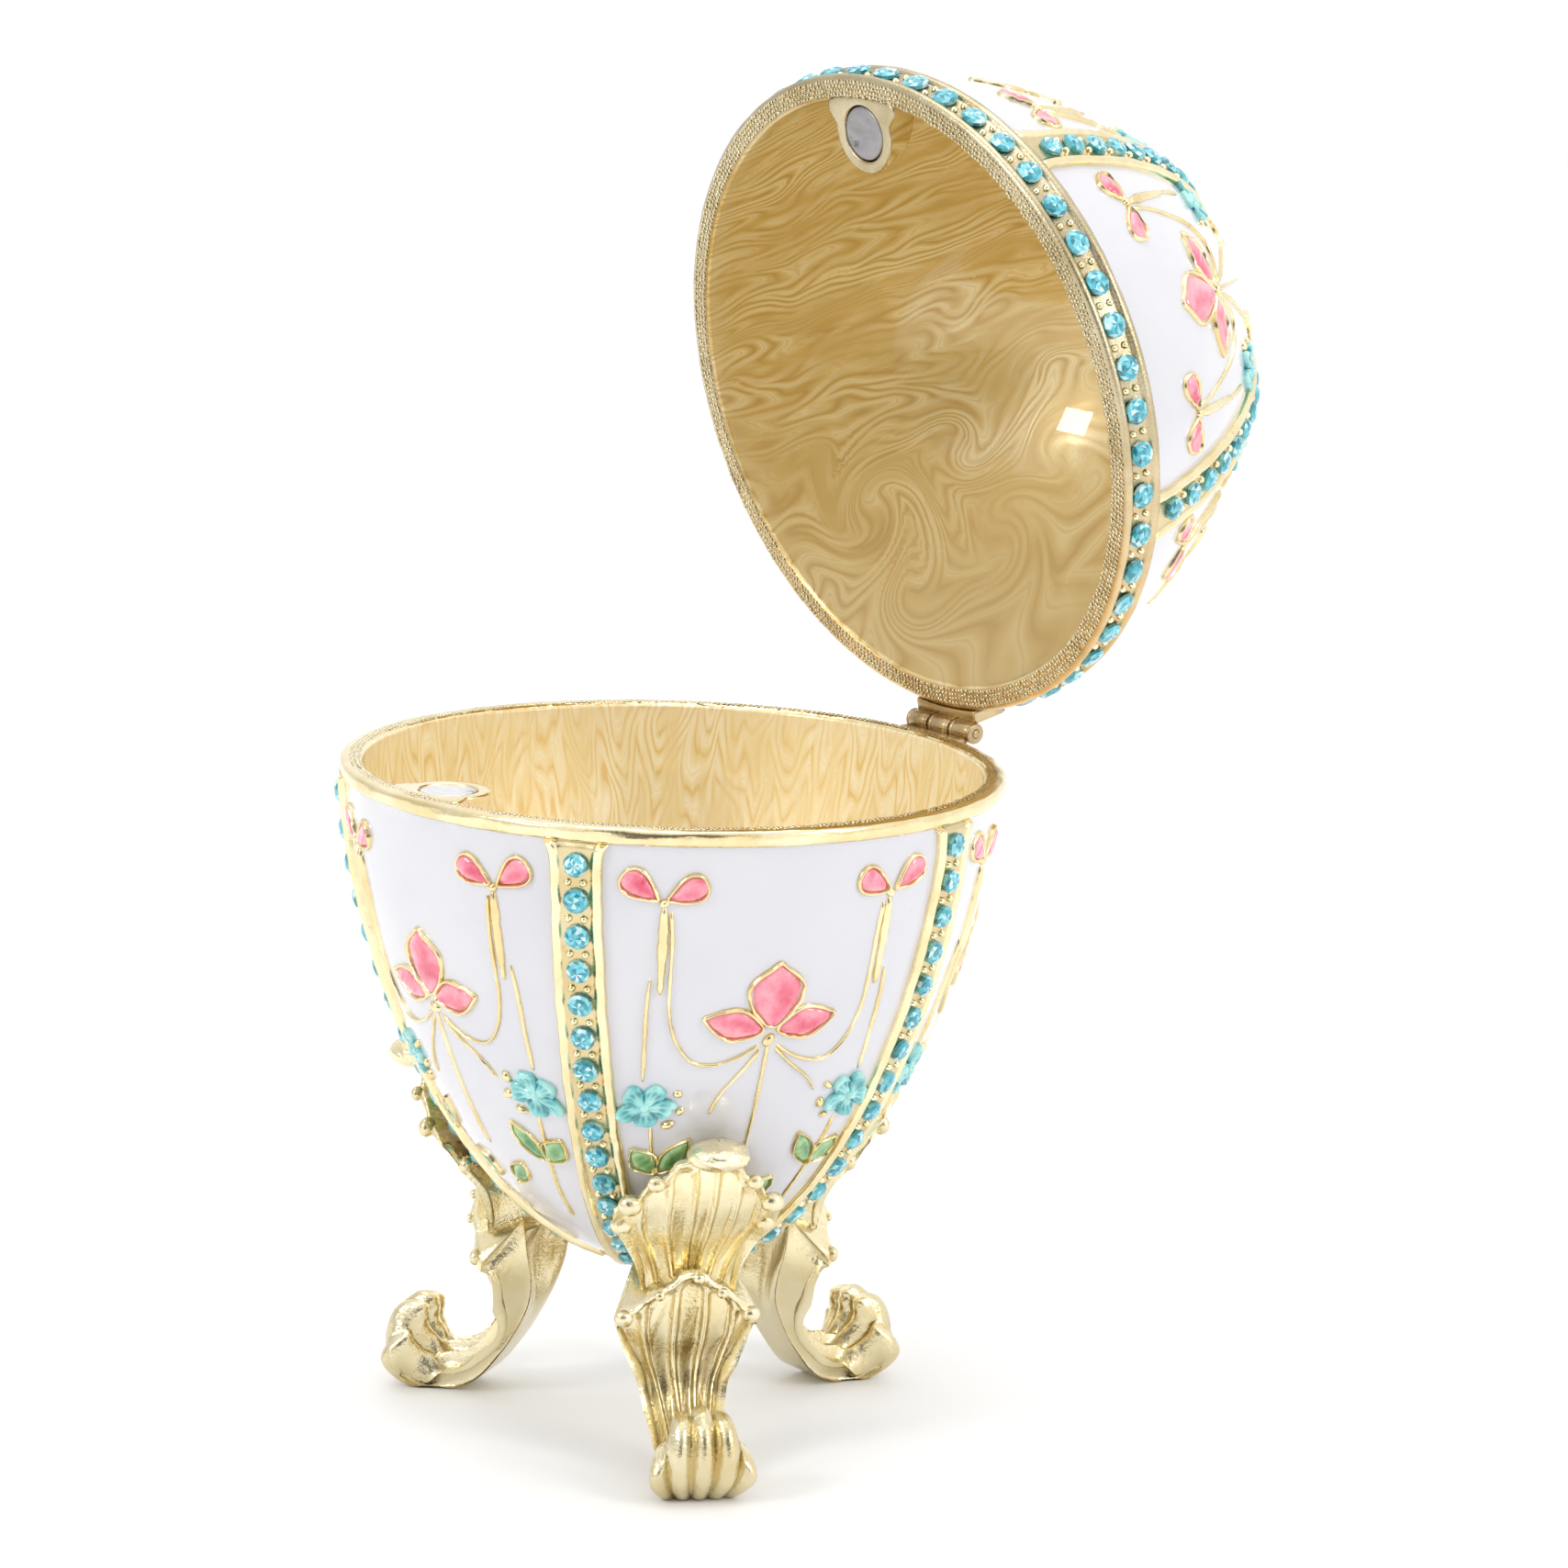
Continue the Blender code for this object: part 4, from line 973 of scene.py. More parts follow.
def flower_head(half, azimuth, centre, turn):
    """Five dished petals round a bead: edge = R (0.58 + 0.42 |cos 2.5a|^0.5), uneven, with a
    raised brim, a hollow inside it and a few ribs. Core is 1 in the hollows and grooves."""
    angle = circle(120)
    lobe = np.abs(np.cos(2.5 * (angle + turn))) ** 0.5
    edge = FLOWER_RADIUS * (0.58 + 0.42 * lobe) * (1 + 0.09 * waves(angle * 2.0, turn * 3))
    share, level = np.array(FLOWER_RINGS).T[:, :, None]
    ribs = 0.07 * np.cos(angle * 20 + 2 * np.sin(angle + turn)) * peak(share, 0.66, 0.22)
    valley = (1 - lobe) * np.clip(share * 1.3, 0, 1)
    raised = level > 0
    rise = level + raised * (ribs - 0.30 * valley + 0.08 * waves(angle * 2 + turn))
    core = np.clip(valley + 0.75 * peak(share, 0.64, 0.20) * (0.6 - 6 * ribs), 0, 1) * raised
    return Patch(on_egg(half, azimuth, centre[0] + share * edge * np.cos(angle),
                        centre[1] + share * edge * np.sin(angle), rise), core=core)


def plant_patches(half, plant, azimuth, number):
    """Every patch of one panel, by finish: gold lines, pink, green and turquoise."""
    gold, pink, green, blue = [], [], [], []
    chance = np.random.default_rng(number + (50 if half is LID else 40))

    def fill(group, petal, form, puff, thick):
        foot, tip, width = petal
        pool, edge = cell(half, azimuth, *to_run(half, [foot, tip]), width, form, puff, thick)
        group.append(pool)
        gold.append(edge)

    def line(points, width, height):
        gold.append(wire(half, azimuth, smooth_path(to_run(half, points), 0.4), width, height))

    def bead(group, place, size, height, squash=1.0):
        group.append(dome(half, azimuth, to_run(half, [place])[0], size, height,
                          chance.uniform(0, 3), squash))

    for side in (-1, 1):
        slip = chance.normal(0, 0.16, 2)

        def mirror(points, shift=slip):
            return (np.array(points, dtype=float) + shift) * (side, 1)

        line(mirror(plant.stem), (0.30, 0.46, 0.44, 0.34, 0.20), 0.40)
        line(np.vstack([mirror(plant.loop[:-1]), mirror(plant.loop[-1:], 0)]),
             (0.20, 0.19, 0.16, 0.16, 0.20), 0.27)
        line(mirror(plant.strand), (0.16, 0.22, 0.18), 0.27)
        line(mirror(plant.twig), (0.18, 0.20, 0.15), 0.25)
        for foot, tip, width in plant.sprouts:
            fill(pink, (*mirror([foot, tip]), width), None, 0.42, 0.19)
        foot, tip, width = plant.trefoil[1]
        fill(pink, (*mirror([foot, tip], 0), width), LEAF, 0.38, 0.20)
        flower = mirror([plant.flower])
        blue.append(flower_head(half, azimuth, to_run(half, flower)[0], chance.uniform(0, 6)))
        bead(blue, flower[0], 0.52, 0.80)
        for bud in plant.buds:
            size = chance.uniform(0.42, 0.66)
            bead(gold, mirror(bud), size, size * 0.8, chance.uniform(0.55, 0.9))
        for foot, tip, width in plant.leaves:
            fill(green, (*mirror([foot, tip]), width), LEAF, 0.32, 0.12)
        bead(gold, mirror(plant.stem[0]), 0.5, 0.44, 0.8)
    for fan in plant.fans:
        line(fan, (0.20, 0.16, 0.15), 0.25)
    fill(pink, plant.trefoil[0], OGEE, 0.38, 0.21)
    bead(gold, plant.knot, 0.72, 0.46, 0.7)
    return gold, pink, green, blue


def clear_enamel(name, thin, thick, ground, coat):
    """Translucent enamel over the casting: pale where it is thin, deep where it pools, with a
    cloud of unmixed colour."""
    material, shader = new_material(name, Roughness=0.10, IOR=1.5, Coat_Weight=coat,
                                    Coat_Roughness=0.02, Coat_IOR=1.5)
    cloud = noise(place_on(shader), 520.0, 4.0, 0.6)
    depth = plus(mark_on(shader, "core"), times(maths("SUBTRACT", cloud, 0.48), 2.4), clamp=True)
    feed(shader, Base_Color=ramp(depth, (0.0, thin), (0.5, thick), (1.0, ground)),
         Normal=bump(cloud, 0.3, 0.15))
    return material


# The finish and the record's slot of each group of patches.
PLANT_FINISHES = {
    "wires": (gilt("line_gold", (0.90, 0.79, 0.50), (0.74, 0.58, 0.28), tarnish=0.22,
                   polish=0.20, grain=4.0, relief=0.03), "plated_gold"),
    "pink_cells": (clear_enamel("pink_enamel", (0.90, 0.34, 0.40), (0.80, 0.17, 0.25),
                                (0.66, 0.06, 0.12), 0.9), "enamelled_casting"),
    "green_cells": (clear_enamel("green_enamel", (0.38, 0.58, 0.28), (0.18, 0.40, 0.14),
                                 (0.05, 0.20, 0.06), 0.8), "enamelled_casting"),
    "flowers": (clear_enamel("turquoise_enamel", (0.38, 0.74, 0.70), (0.15, 0.52, 0.52),
                             (0.05, 0.28, 0.32), 0.9), "enamelled_casting")}

for half, plant in ((BOWL, BOWL_PLANT), (LID, LID_PLANT)):
    panels = [plant_patches(half, plant, azimuth, number)
              for number, azimuth in enumerate(PANEL_AZIMUTHS)]
    for (label, (finish, slot)), groups in zip(PLANT_FINISHES.items(), zip(*panels)):
        add_piece("%s_%s" % (half.body, label), half, sum(groups, []), [finish])


# --- legs ----------------------------------------------------------------------------------
# Three gilt castings soldered under the bowl: a fluted leaf with a knob against the egg, a
# fluted strap below it, and a scrolled toe of five lobes that stands on its rounded sole.

LEG_AZIMUTHS = {"leg_rear": 90.0, "leg_front_left": 210.0, "leg_front_right": 332.0}
FLOOR_Z = (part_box("leg_rear")[0].z - AXIS[2]) / MM
# Stations down the leaf: outer (r, z), outer and inner half-width, flute depth.
LEG_LEAF = np.array([
    (22.4, -28.8, 7.0, 3.6, 0.30), (23.1, -30.8, 7.3, 3.9, 0.50),
    (23.2, -32.8, 7.4, 4.0, 0.65), (22.2, -35.4, 7.5, 3.9, 0.70),
    (20.0, -38.3, 7.2, 3.4, 0.70), (17.8, -41.0, 5.8, 2.9, 0.65),
    (16.6, -43.6, 4.6, 2.6, 0.50), (15.9, -46.8, 4.0, 2.6, 0.20)])
LEAF_SEAT = (28.4, 43.4)
# Stations down the strap and toe: outer (r, z), inner (r, z), outer and inner half-width, flute
# depth, hollow of the back, lobe depth of the back, shrink of the outer lobes.
STRAP = np.array([
    (18.0, -42.2, 11.6, -43.3, 5.8, 4.4, 0.5, 0.0, 0.0, 0.0),
    (17.6, -44.6, 11.2, -45.2, 6.4, 4.8, 0.7, 1.0, 0.0, 0.0),
    (17.1, -46.9, 11.0, -47.0, 6.8, 4.7, 0.8, 2.0, 0.0, 0.0),
    (16.3, -49.2, 11.0, -49.2, 6.6, 3.9, 0.8, 1.8, 0.0, 0.0),
    (15.3, -51.4, 11.6, -51.8, 5.7, 2.9, 0.8, 0.8, 0.0, 0.0),
    (15.6, -53.7, 12.8, -54.4, 4.4, 2.5, 0.8, 0.0, 0.0, 0.0),
    (16.9, -55.6, 14.6, -57.3, 3.6, 2.4, 0.8, 0.0, 0.0, 0.0),
    (18.6, -56.8, 17.2, -60.3, 3.2, 2.5, 0.8, 0.0, 0.0, 0.0),
    (20.2, -57.0, 20.4, -61.6, 3.1, 2.4, 0.8, 0.0, 0.1, 0.0),
    (21.2, -56.5, 23.3, -61.7, 3.6, 3.5, 0.8, 0.0, 0.35, 0.06),
    (21.8, -55.8, 25.4, -59.8, 4.5, 5.1, 0.8, 0.0, 0.9, 0.12),
    (22.0, -55.2, 26.0, -57.2, 4.9, 5.6, 0.9, 0.0, 1.35, 0.14),
    (21.9, -54.5, 25.3, -54.7, 4.8, 5.2, 1.0, 0.0, 1.4, 0.16),
    (22.2, -53.8, 23.7, -53.2, 4.5, 4.8, 0.8, 0.0, 1.0, 0.20)])
CURL_CENTRE = np.array([22.9, -57.4])
# Flutes across the leaf, and across the strap, whose toe has as many lobes.
LEAF_FLUTES, STRAP_FLUTES = 7, 5
LEG_COLUMNS = 97
SIDE_COLUMNS = 9
SIDE_HOLLOW = 0.55
# Shares of the section in the rows that round off the top and the low end.
TOP_ROWS, LOW_ROWS = (0.0, 0.35, 0.65, 0.87), (0.96, 0.85, 0.65, 0.35, 0.0)
# Knots on the lips as (share of the way down, ((place across, size), ...)).
LEAF_KNOTS = ((0.07, ((-0.86, 1.00), (-0.60, 0.75), (0.58, 0.70), (0.84, 0.95))),
              (0.34, ((-0.90, 0.95), (0.90, 0.90))))
STRAP_KNOTS = ((0.03, ((-0.85, 0.80), (-0.45, 0.45), (0.06, 0.50), (0.42, 0.50), (0.84, 0.80))),)
# The knob's middle and radii across, outward and up.
KNOB_CENTRE = (0.6, 24.5, -29.9)
KNOB_RADII = (2.8, 2.6, 1.4)


def stations(table, shares):
    """Smooth rows of a table at shares 0 to 1 of its length."""
    return curve_at(table, np.clip(shares, 0, 1) * (len(table) - 1))


def hollows(flutes, across):
    """1 in the middle of each flute and 0 on the ribs between: |cos(pi n a / 2)|."""
    return np.abs(np.cos(math.pi * flutes * across / 2))


def flute_floor(hollow):
    """A flute's depth: nearly flat over its floor, with steep sides at the ribs."""
    return 0.8 * (1 - peak(hollow, 0, 0.38)) + 0.2 * hollow


def stepped(flutes, across):
    """The place across, drawn toward the middle of its own flute, so an edge goes in steps."""
    place = np.abs(across) * flutes / 2
    whole = np.floor(place + 0.5)
    part = np.clip((place + 0.5 - whole) / 0.5, 0, 2) - 1
    return np.clip((whole + 0.5 * part ** 5 + 0.12 * part) * 2 / flutes, 0, 1)


def cast_skin(across, share, swells, pits_across, pits_along):
    """The slight unevenness of a casting: slow swells and fine pits."""
    return (0.04 * waves(across * 9, share * swells)
            + 0.015 * waves(across * pits_across, share * pits_along))


def leg_patch(azimuth, x, r, z, core=0.0):
    """A grid at x across and r out from the egg's axis, turned to the leg's azimuth."""
    cos, sin = math.cos(math.radians(azimuth)), math.sin(math.radians(azimuth))
    return Patch(xyz(r * cos - x * sin, r * sin + x * cos, z), core=core)


def cast(azimuth, front, rear, core, swell, lip_knots):
    """A closed body from its front and rear faces, given as (x, (r, z)) grids, and its knots.

    The side walls join the two faces with a slight hollow. The ends are rounded off: the last
    rows draw in to the line midway between the faces, and the low end swells out.
    """
    front, rear = (xyz(x, *np.moveaxis(face, -1, 0)) for x, face in (front, rear))
    bend = np.linspace(0, math.pi, SIDE_COLUMNS + 2)[1:-1]
    joint = ((1 - np.cos(bend)) / 2)[:, None]
    right = front[:, -1:] + (rear[:, -1:] - front[:, -1:]) * joint
    left = rear[:, :1] + (front[:, :1] - rear[:, :1]) * joint
    right[..., 0] -= SIDE_HOLLOW * np.sin(bend)
    left[..., 0] += SIDE_HOLLOW * np.sin(bend)
    ring = np.concatenate([front, right, rear[:, ::-1], left], axis=1)
    # Painted shade: the side walls and the back against the bowl are darkened through core.
    shade = np.concatenate([core, np.full(right.shape[:2], 0.2), np.full(rear.shape[:2], 0.3),
                            np.full(left.shape[:2], 0.2)], axis=1)
    middle = (front + rear) / 2
    closing = np.concatenate([middle, np.repeat(middle[:, -1:], SIDE_COLUMNS, axis=1),
                              middle[:, ::-1], np.repeat(middle[:, :1], SIDE_COLUMNS, axis=1)],
                             axis=1)
    top = [closing[0] + (ring[0] - closing[0]) * share for share in TOP_ROWS]
    ahead = at_length_one(closing[-1] - closing[-4]) * swell
    low = [closing[-1] + (ring[-1] - closing[-1]) * share + ahead * (1 - share ** 2) ** 0.5
           for share in LOW_ROWS]
    x, r, z = np.moveaxis(np.concatenate([top, ring, low]), -1, 0)
    patches = [leg_patch(azimuth, x, r, np.maximum(z, FLOOR_Z),
                         np.pad(shade, ((len(top), len(low)), (0, 0)), mode="edge"))]
    u, v, w = ball(np.linspace(-90, 90, 11), 16)
    for share, knots in lip_knots:
        places, size = np.array(knots).T[:, :, None, None]
        columns = np.round((places.ravel() + 1) / 2 * (LEG_COLUMNS - 1)).astype(int)
        x, r, z = front[int(share * (len(front) - 1)), columns].T[:, :, None, None]
        patches.append(leg_patch(azimuth, x + 1.1 * size * u, r + 0.8 * size * v, z + size * w,
                                 0.15))
    return patches


def fluted_leaf(azimuth):
    """Seven flutes with flat floors between round ribs, under a knotted lip that goes in steps.
    The leaf bends round the bowl: its sides turn back, most of all at the top."""
    across = np.linspace(-1, 1, LEG_COLUMNS)
    share = (np.linspace(0, 1, 76) ** 1.15)[:, None]
    drop = 0.05 + 0.41 * (0.9 * stepped(LEAF_FLUTES, across) + 0.1 * np.abs(across)) ** 1.3
    shares = drop + (1 - drop) * share
    rows = stations(LEG_LEAF, shares)
    turn = np.interp(shares, (0, 1), turn_at_depth(BOWL, np.array(LEAF_SEAT)))
    back = np.stack(outline(BOWL, turn, 0.3), axis=-1)
    hollow = hollows(LEAF_FLUTES, across)
    start = ease((share - 0.06 - 0.05 * (1 - hollow)) / 0.05)
    lip = (0.30 + 0.95 * hollow * np.abs(across)) * peak(share, 0.040, 0.034)
    lift = (lip - rows[..., 4] * 1.1 * flute_floor(hollow) * start
            + 0.35 * peak(1 - np.abs(across), 0, 0.06)
            - (3.9 - 2.7 * ease(shares * 1.6 - 0.6)) * across ** 2
            + cast_skin(across, share, 7, 70, 90))
    face = rows[..., 0:2] + at_length_one(rows[..., 0:2] - back) * lift[..., None]
    widen = np.sign(across) * np.abs(across) ** (1 + 0.25 * share)
    # Painted shade on the flutes' floors, growing down the leaf.
    core = 0.3 * hollow ** 3 * ease(share * 1.6 - 0.3)
    return cast(azimuth, (widen * rows[..., 2], face), (across * rows[..., 3], back), core, 0.0,
                LEAF_KNOTS)


def strap_and_toe(azimuth):
    """The strap has five flutes with round tops between thin ribs and a raised border. It bends
    up like a hook into five round lobes with sharp valleys, the outer ones lower."""
    across = np.linspace(-1, 1, LEG_COLUMNS)
    share = np.linspace(0, 1, 126)[:, None]
    drop = 0.24 * (0.3 * stepped(STRAP_FLUTES, across) + 0.7 * np.abs(across)) ** 1.7
    drop = drop * np.maximum(0.0, 1 - share / 0.45)
    hollow = hollows(STRAP_FLUTES, across)
    lobe = np.minimum(stepped(STRAP_FLUTES, across), 0.85) ** 2.6
    short = 0.02 + 0.32 * lobe + 0.06 * (1 - hollow) ** 2
    level = share * (1 - short * ease((share - 0.55) / 0.45))
    rows = stations(STRAP, np.clip(level + drop, 0, 1))
    rows[..., [2, 3, 5]] = stations(STRAP, level)[..., [2, 3, 5]]
    way = rows[..., 0:2] - rows[..., 2:4]
    out, thick = at_length_one(way), np.linalg.norm(way, axis=-1)
    side = 1 - np.abs(across)
    toe = ease((share - 0.60) / 0.12)
    start = ease((share - 0.020 - 0.03 * across ** 2 - 0.03 * (1 - hollow)) / 0.03)
    lip = (0.35 + 0.40 * hollow) * peak(share, 0.018, 0.016)
    balls = 0.6 * peak(side, 0.05, 0.08) * peak(share, 0.03, 0.03)
    border = 0.30 * peak(side, 0, 0.06) * (1 - toe)
    fluted = -rows[..., 6] * 1.1 * flute_floor(hollow) * start
    lobed = -rows[..., 6] * 1.5 * (1 - hollow ** 0.55)
    crown = across ** 2 * (2.9 * np.maximum(0.0, 1 - share / 0.5)
                           + 0.60 * thick * ease((share - 0.25) / 0.2))
    lift = (fluted * (1 - toe) + lobed * toe + lip + balls + border - crown
            + cast_skin(across, share, 13, 60, 110))
    sink = rows[..., 7] * (1 - across ** 2) + rows[..., 8] * (0.62 - hollow ** 0.6)
    shrink = (1 - rows[..., 9] * across ** 2)[..., None]
    face, back = (CURL_CENTRE + (grid - CURL_CENTRE) * shrink
                  for grid in (rows[..., 0:2] + out * lift[..., None],
                               rows[..., 2:4] + out * sink[..., None]))
    # Painted shade in the strap's flutes and in the valleys between the toe's lobes.
    core = np.clip(hollow ** 2 * ease((share - 0.1) / 0.25) * (1 - toe)
                   + 0.45 * (1 - hollow) ** 2 * toe, 0, 1)
    return cast(azimuth, (across * rows[..., 4], face), (across * rows[..., 5], back), core, 0.7,
                STRAP_KNOTS)


def knob(azimuth):
    """The wide oval knob on top of the leaf, slightly uneven."""
    slopes, sides = np.linspace(-90, 90, 25), 48
    u, v, w = ball(slopes, sides)
    swell = 1 + 0.04 * waves(circle(sides) * 2, np.radians(slopes)[:, None] * 3)
    x, r, z = (centre + radius * part * swell
               for centre, radius, part in zip(KNOB_CENTRE, KNOB_RADII, (v, u, w)))
    return leg_patch(azimuth, x, r, z)


# The core tint paints shade into the legs' flutes, valleys, sides and back.
LEG_GOLD = gilt("leg_gold", (0.94, 0.86, 0.61), (0.84, 0.71, 0.41), tarnish=0.14, polish=0.12,
                grain=2.4, relief=0.15, painted_shading_tint=(0.40, 0.34, 0.22))
for name, azimuth in LEG_AZIMUTHS.items():
    add_piece(name + "_cast", BOWL,
              fluted_leaf(azimuth) + strap_and_toe(azimuth) + [knob(azimuth)],
              [LEG_GOLD], [name], 75.0)


# --- hinge ---------------------------------------------------------------------------------
# A small three-knuckle hinge of brass, rolled and soldered to the two rims at the back. The
# bowl's leaf has the outer knuckles and the lid's the middle one, on a brass pin peened over at
# both ends. The plating has aged to bronze.

BARREL_END = 4.5
MIDDLE_END = 1.5
KNUCKLE_GAP = 0.2
# The leaf: length, middle from the pin, half its height, back, and the rim's own radius there.
LEAF_LENGTH, LEAF_FROM_PIN, LEAF_REACH, LEAF_BACK, LEAF_RIM = 8.4, 2.3, 1.95, 31.5, 30.4
HINGE_Y, HINGE_Z = HINGE[1] / MM, HINGE[2] / MM
# Ends as (distance from the end, radius): a drilled knuckle with broken edges and a shallow
# turned line, and the peened pin.
KNUCKLE_END = [(0.0, 0.46), (0.0, 0.84), (0.06, 0.96), (0.16, 1.0), (0.34, 1.0), (0.40, 0.96),
               (0.46, 1.0)]
PIN_END = [(-0.14, 0.0), (-0.13, 0.22), (-0.06, 0.40), (0.04, 0.43), (0.2, 0.40)]


def turned_on_pin(left, right, end, hollow):
    """An end's profile and its mirror image, turned round the hinge's axis."""
    profile = ([(left + x, radius) for x, radius in end]
               + [(right - x, radius) for x, radius in reversed(end)])
    x, radius = np.array(profile).T[:, :, None]
    spin = circle(40)
    return Patch(xyz(x, HINGE_Y + radius * np.cos(spin), HINGE_Z + radius * np.sin(spin)),
                 wrap_rows=hollow)


def hinge_leaf(side):
    """The leaf: a plate from the rim's curve to a flat back, with its edges rounded off.

    Its section is a superellipse, y = a cos^(1/4), z = b sin^(1/4), carried along x.
    """
    start, middle = np.array([0.0, 0.03, 0.12]), np.linspace(0.25, LEAF_LENGTH - 0.25, 30)
    x = np.concatenate([start, middle, LEAF_LENGTH - start[::-1]])[:, None] - LEAF_LENGTH / 2
    ends = np.array([0.0, 0.80, 0.93, *np.ones(len(middle)), 0.93, 0.80, 0.0])[:, None]
    cos, sin = (np.sign(part) * np.abs(part) ** 0.25
                for part in (np.cos(circle(40)), np.sin(circle(40))))
    front = np.sqrt(LEAF_RIM ** 2 - x ** 2)
    high = LEAF_REACH * (0.9 + 0.1 * ends) * ends ** 0.2
    return Patch(xyz(x, (LEAF_BACK + front) / 2 + (LEAF_BACK - front) / 2 * ends * cos,
                     HINGE_Z + side * LEAF_FROM_PIN + high * sin))


AGED_BRASS = gilt("aged_brass", (0.60, 0.46, 0.26), (0.34, 0.23, 0.11),
                  tarnish=0.55, polish=0.28, grain=2.2, relief=0.05)
outer_start, middle_end = MIDDLE_END + KNUCKLE_GAP / 2, MIDDLE_END - KNUCKLE_GAP / 2
for name, half, patches, node in (
        ("hinge_bowl_half", BOWL,
         [hinge_leaf(-1), turned_on_pin(-BARREL_END, -outer_start, KNUCKLE_END, True),
          turned_on_pin(outer_start, BARREL_END, KNUCKLE_END, True)], "hinge_bowl_leaf"),
        ("hinge_lid_half", LID,
         [hinge_leaf(1), turned_on_pin(-middle_end, middle_end, KNUCKLE_END, True)],
         "hinge_lid_leaf"),
        ("hinge_pin_peened", BOWL,
         [turned_on_pin(-BARREL_END, BARREL_END, PIN_END, False)], "hinge_pin")):
    add_piece(name, half, patches, [AGED_BRASS], [node], 60.0)


# --- magnets -------------------------------------------------------------------------------
# One nickel-plated disc magnet is glued into each lug, just under the rim's face. The plating
# is scuffed from closing, and the glue has left dark specks.

# (Radius, depth below the rim) from the middle of the face over the rolled edge to the back.
MAGNET = [(0.0, 0.06), (1.2, 0.06), (2.2, 0.06), (2.36, 0.08), (2.46, 0.15), (2.5, 0.28),
          (2.5, 1.9), (0.0, 1.95)]


def magnet(half):
    """The disc's profile turned round the middle of its lug."""
    radius, depth = np.array(MAGNET).T[:, :, None]
    spin = circle(64)
    return Patch(xyz(radius * np.cos(spin), LUG_Y + radius * np.sin(spin),
                     half.base + half.side * depth))


def worn_nickel(name, colour, roughness, specks):
    """Nickel plating with drawn-out scuffs and dark specks."""
    material, shader = new_material(name, Metallic=1.0)
    place = place_on(shader)
    drawn = put("Mapping", {"Vector": place, "Rotation": (0.4, 0.2, 0.6),
                            "Scale": (1.0, 9.0, 1.0)})
    scuff = noise(drawn, 500.0, 5.0)
    speck = spread(noise(place, 420.0, 6.0, 0.7), 0.60, 0.68)
    plated = blend(spread(scuff, 0.4, 0.7), colour, tuple(0.8 * part for part in colour))
    feed(shader, Base_Color=blend(times(speck, specks), plated, (0.05, 0.045, 0.05)),
         Roughness=spread(scuff, 0, 1, roughness - 0.06, roughness + 0.10),
         Normal=bump(scuff, 0.25, 0.03))
    return material


# The lid's copy of the plating is much darker: painted shade for the dark reflections in its face.
for half, nickel in ((BOWL, worn_nickel("bowl_nickel", (0.80, 0.80, 0.80), 0.26, 0.7)),
                     (LID, worn_nickel("lid_nickel_painted_dark", (0.36, 0.345, 0.35), 0.42, 0.9))):
    add_piece(half.body + "_magnet_disc", half, [magnet(half)], [nickel],
              [half.body + "_magnet"])


# --- floor, light and camera ---------------------------------------------------------------
# The box stands on a wide plain pale floor under soft boxes, in a bright white room. The camera
# looks a little down from the right of the open lid.

FLOOR_RINGS = np.array([0.0, 0.3, 0.8, 1.6])
# Soft boxes: place in metres from the egg's axis, width, height and power.
LIGHTS = {"key_softbox": ((-0.05, -0.75, 0.43), 0.22, 0.15, 1.6),
          "side_softbox": ((0.75, 0.30, 0.40), 0.22, 0.40, 1.7),
          "top_softbox": ((-0.1, 0.05, 1.1), 0.9, 0.9, 4.0)}
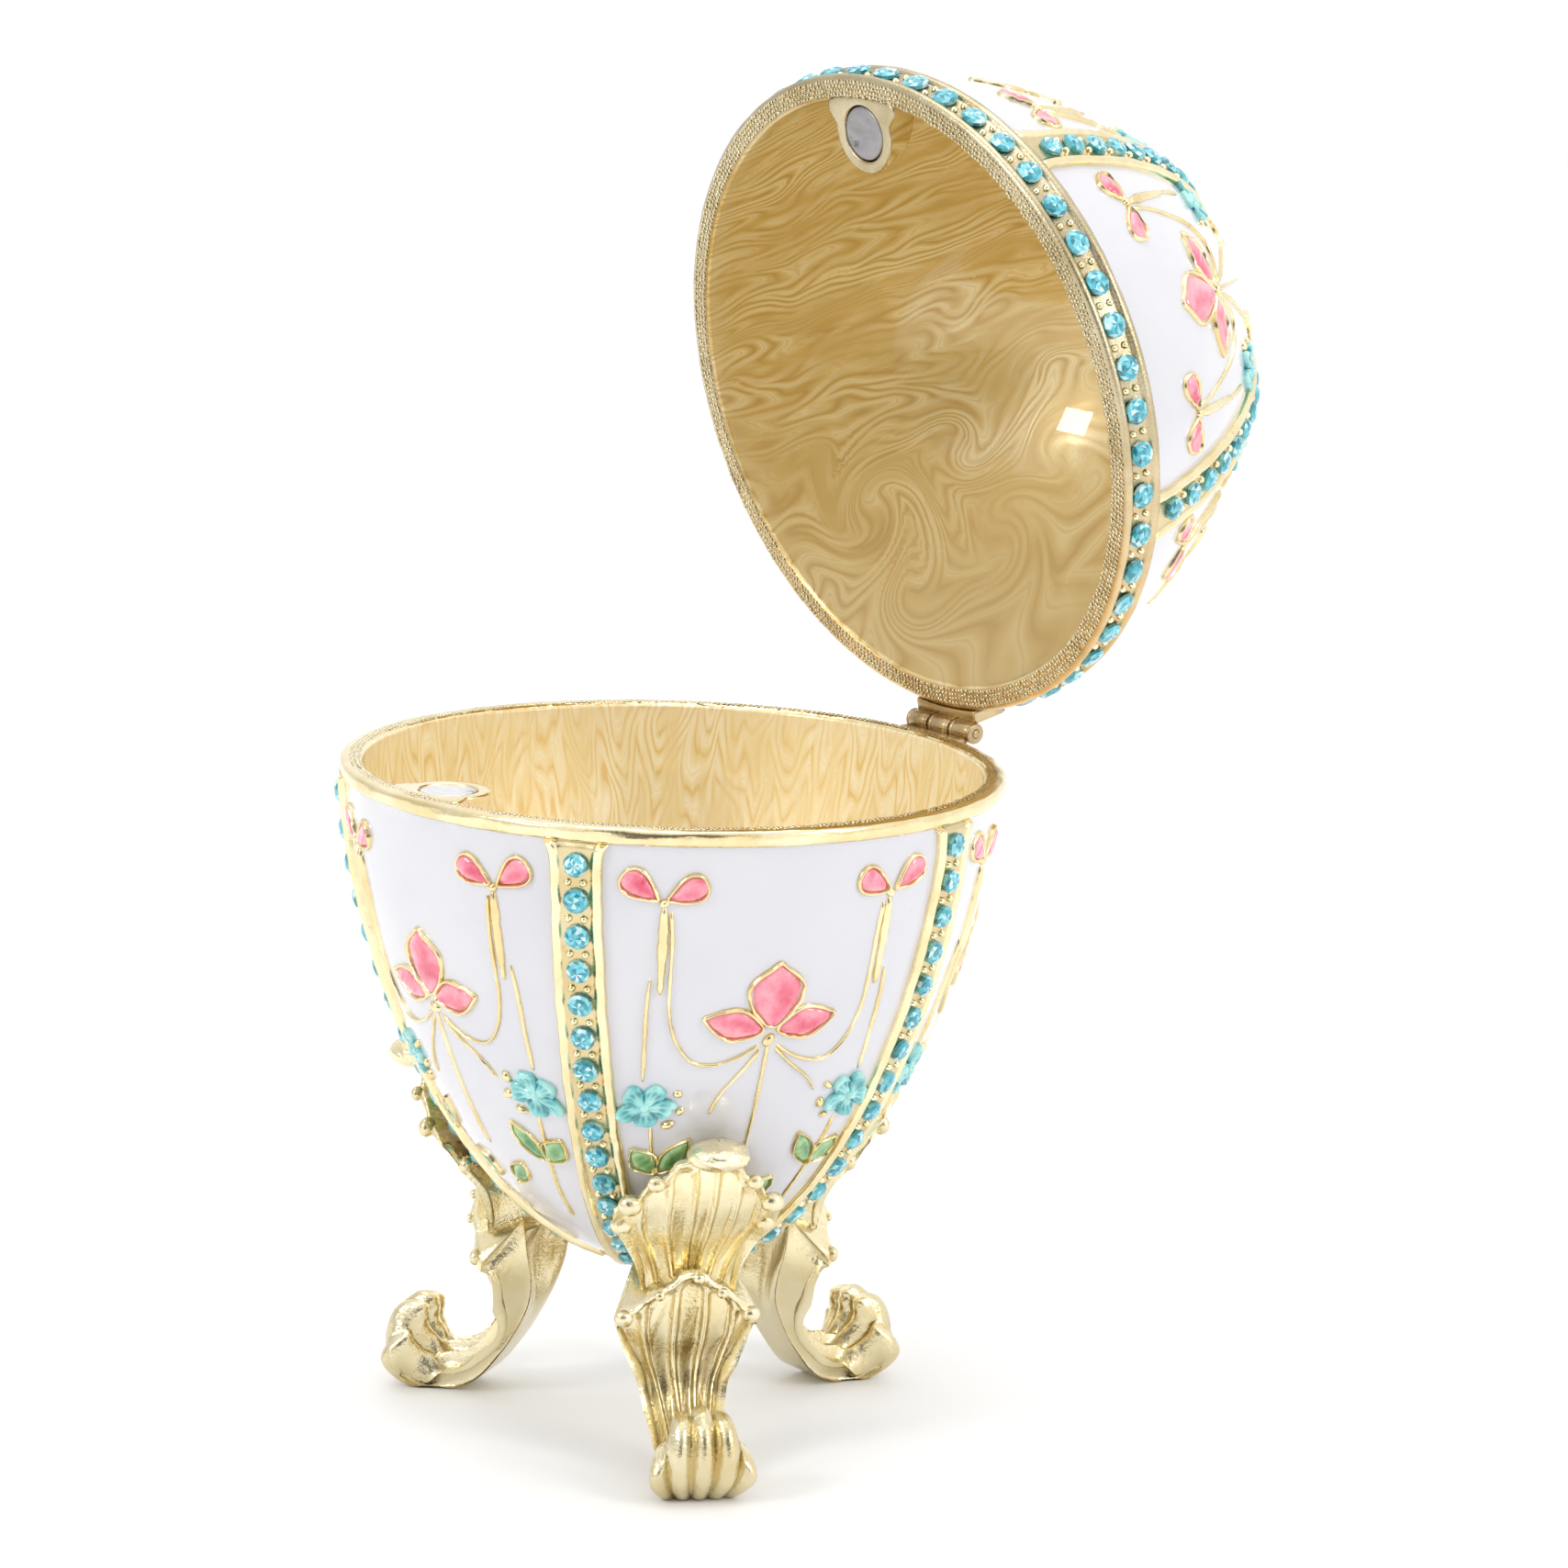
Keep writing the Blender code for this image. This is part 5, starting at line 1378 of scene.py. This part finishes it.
# Two sides of the room that are darker than the rest: the way to the side's middle, the cosines
# at which the shade starts and is full, and what is left of the light there.
SHADES = (((0.757, -0.622, 0.20), 0.86, 0.95, 0.16), ((-0.72, -0.69, 0.0), 0.35, 0.95, 0.70))
CAMERA_PLACE = (0.3570, -0.2807, 0.0916)
CAMERA_BACK = (0.7565, -0.6222, 0.2014)
CAMERA_ROLL = 2.0
LENS_MM, SENSOR_MM = 118.0, 36.0
ROOM_BRIGHTNESS = 1.12
FLOOR_DROP = 0.0001


def add_floor():
    """A flat round floor: radius by rows, angle by columns."""
    radius, spin = FLOOR_RINGS[:, None], circle(64)
    rings = Patch(xyz(radius * np.cos(spin), radius * np.sin(spin), 0.0))
    mesh = grid_mesh("floor", [rings], np.array)
    if mesh.polygons[0].normal.z < 0:
        mesh.flip_normals()
    item = show("floor", mesh)
    item.location.z = cad_bounds[0].z - FLOOR_DROP
    material, shader = new_material("floor_white", Roughness=0.6)
    feed(shader, Base_Color=ramp(noise(place_on(shader), 3.0), (0.3, (0.90, 0.90, 0.905)),
                                 (0.7, (0.915, 0.915, 0.92))))
    mesh.materials.append(material)


add_floor()
for name, (place, width, height, power) in LIGHTS.items():
    light = bpy.data.lights.new(name, "AREA")
    light.shape, light.size, light.size_y, light.energy = "RECTANGLE", width, height, power
    item = show(name, light)
    item.location = Vector(place) + Vector(AXIS)
    item.rotation_euler = (-Vector(place)).to_track_quat("-Z", "Y").to_euler()

world = bpy.data.worlds.new("white_room")
world.use_nodes = True
background = world.node_tree.nodes["Background"]
way = put("TexCoord", {}, "Generated", world.node_tree)
shade, dim = (spread(put("VectorMath", {0: way, 1: middle}, "Value", operation="DOT_PRODUCT"),
                     start, full, 1.0, left) for middle, start, full, left in SHADES)
feed(background, Color=blend(times(shade, dim), (0, 0, 0), (1.0, 1.0, 1.0)))
background.inputs["Strength"].default_value = ROOM_BRIGHTNESS
bpy.context.scene.world = world
bpy.context.scene.view_settings.view_transform = "Standard"

lens = bpy.data.cameras.new("camera")
lens.lens, lens.sensor_width = LENS_MM, SENSOR_MM
lens.clip_start, lens.clip_end = 0.01, 20.0
camera = show("camera", lens)
camera.location = Vector(AXIS) + Vector(CAMERA_PLACE)
camera.rotation_mode = "QUATERNION"
camera.rotation_quaternion = (Vector(CAMERA_BACK).to_track_quat("Z", "Y")
                              @ Quaternion((0, 0, 1), math.radians(CAMERA_ROLL)))
bpy.context.scene.camera = camera
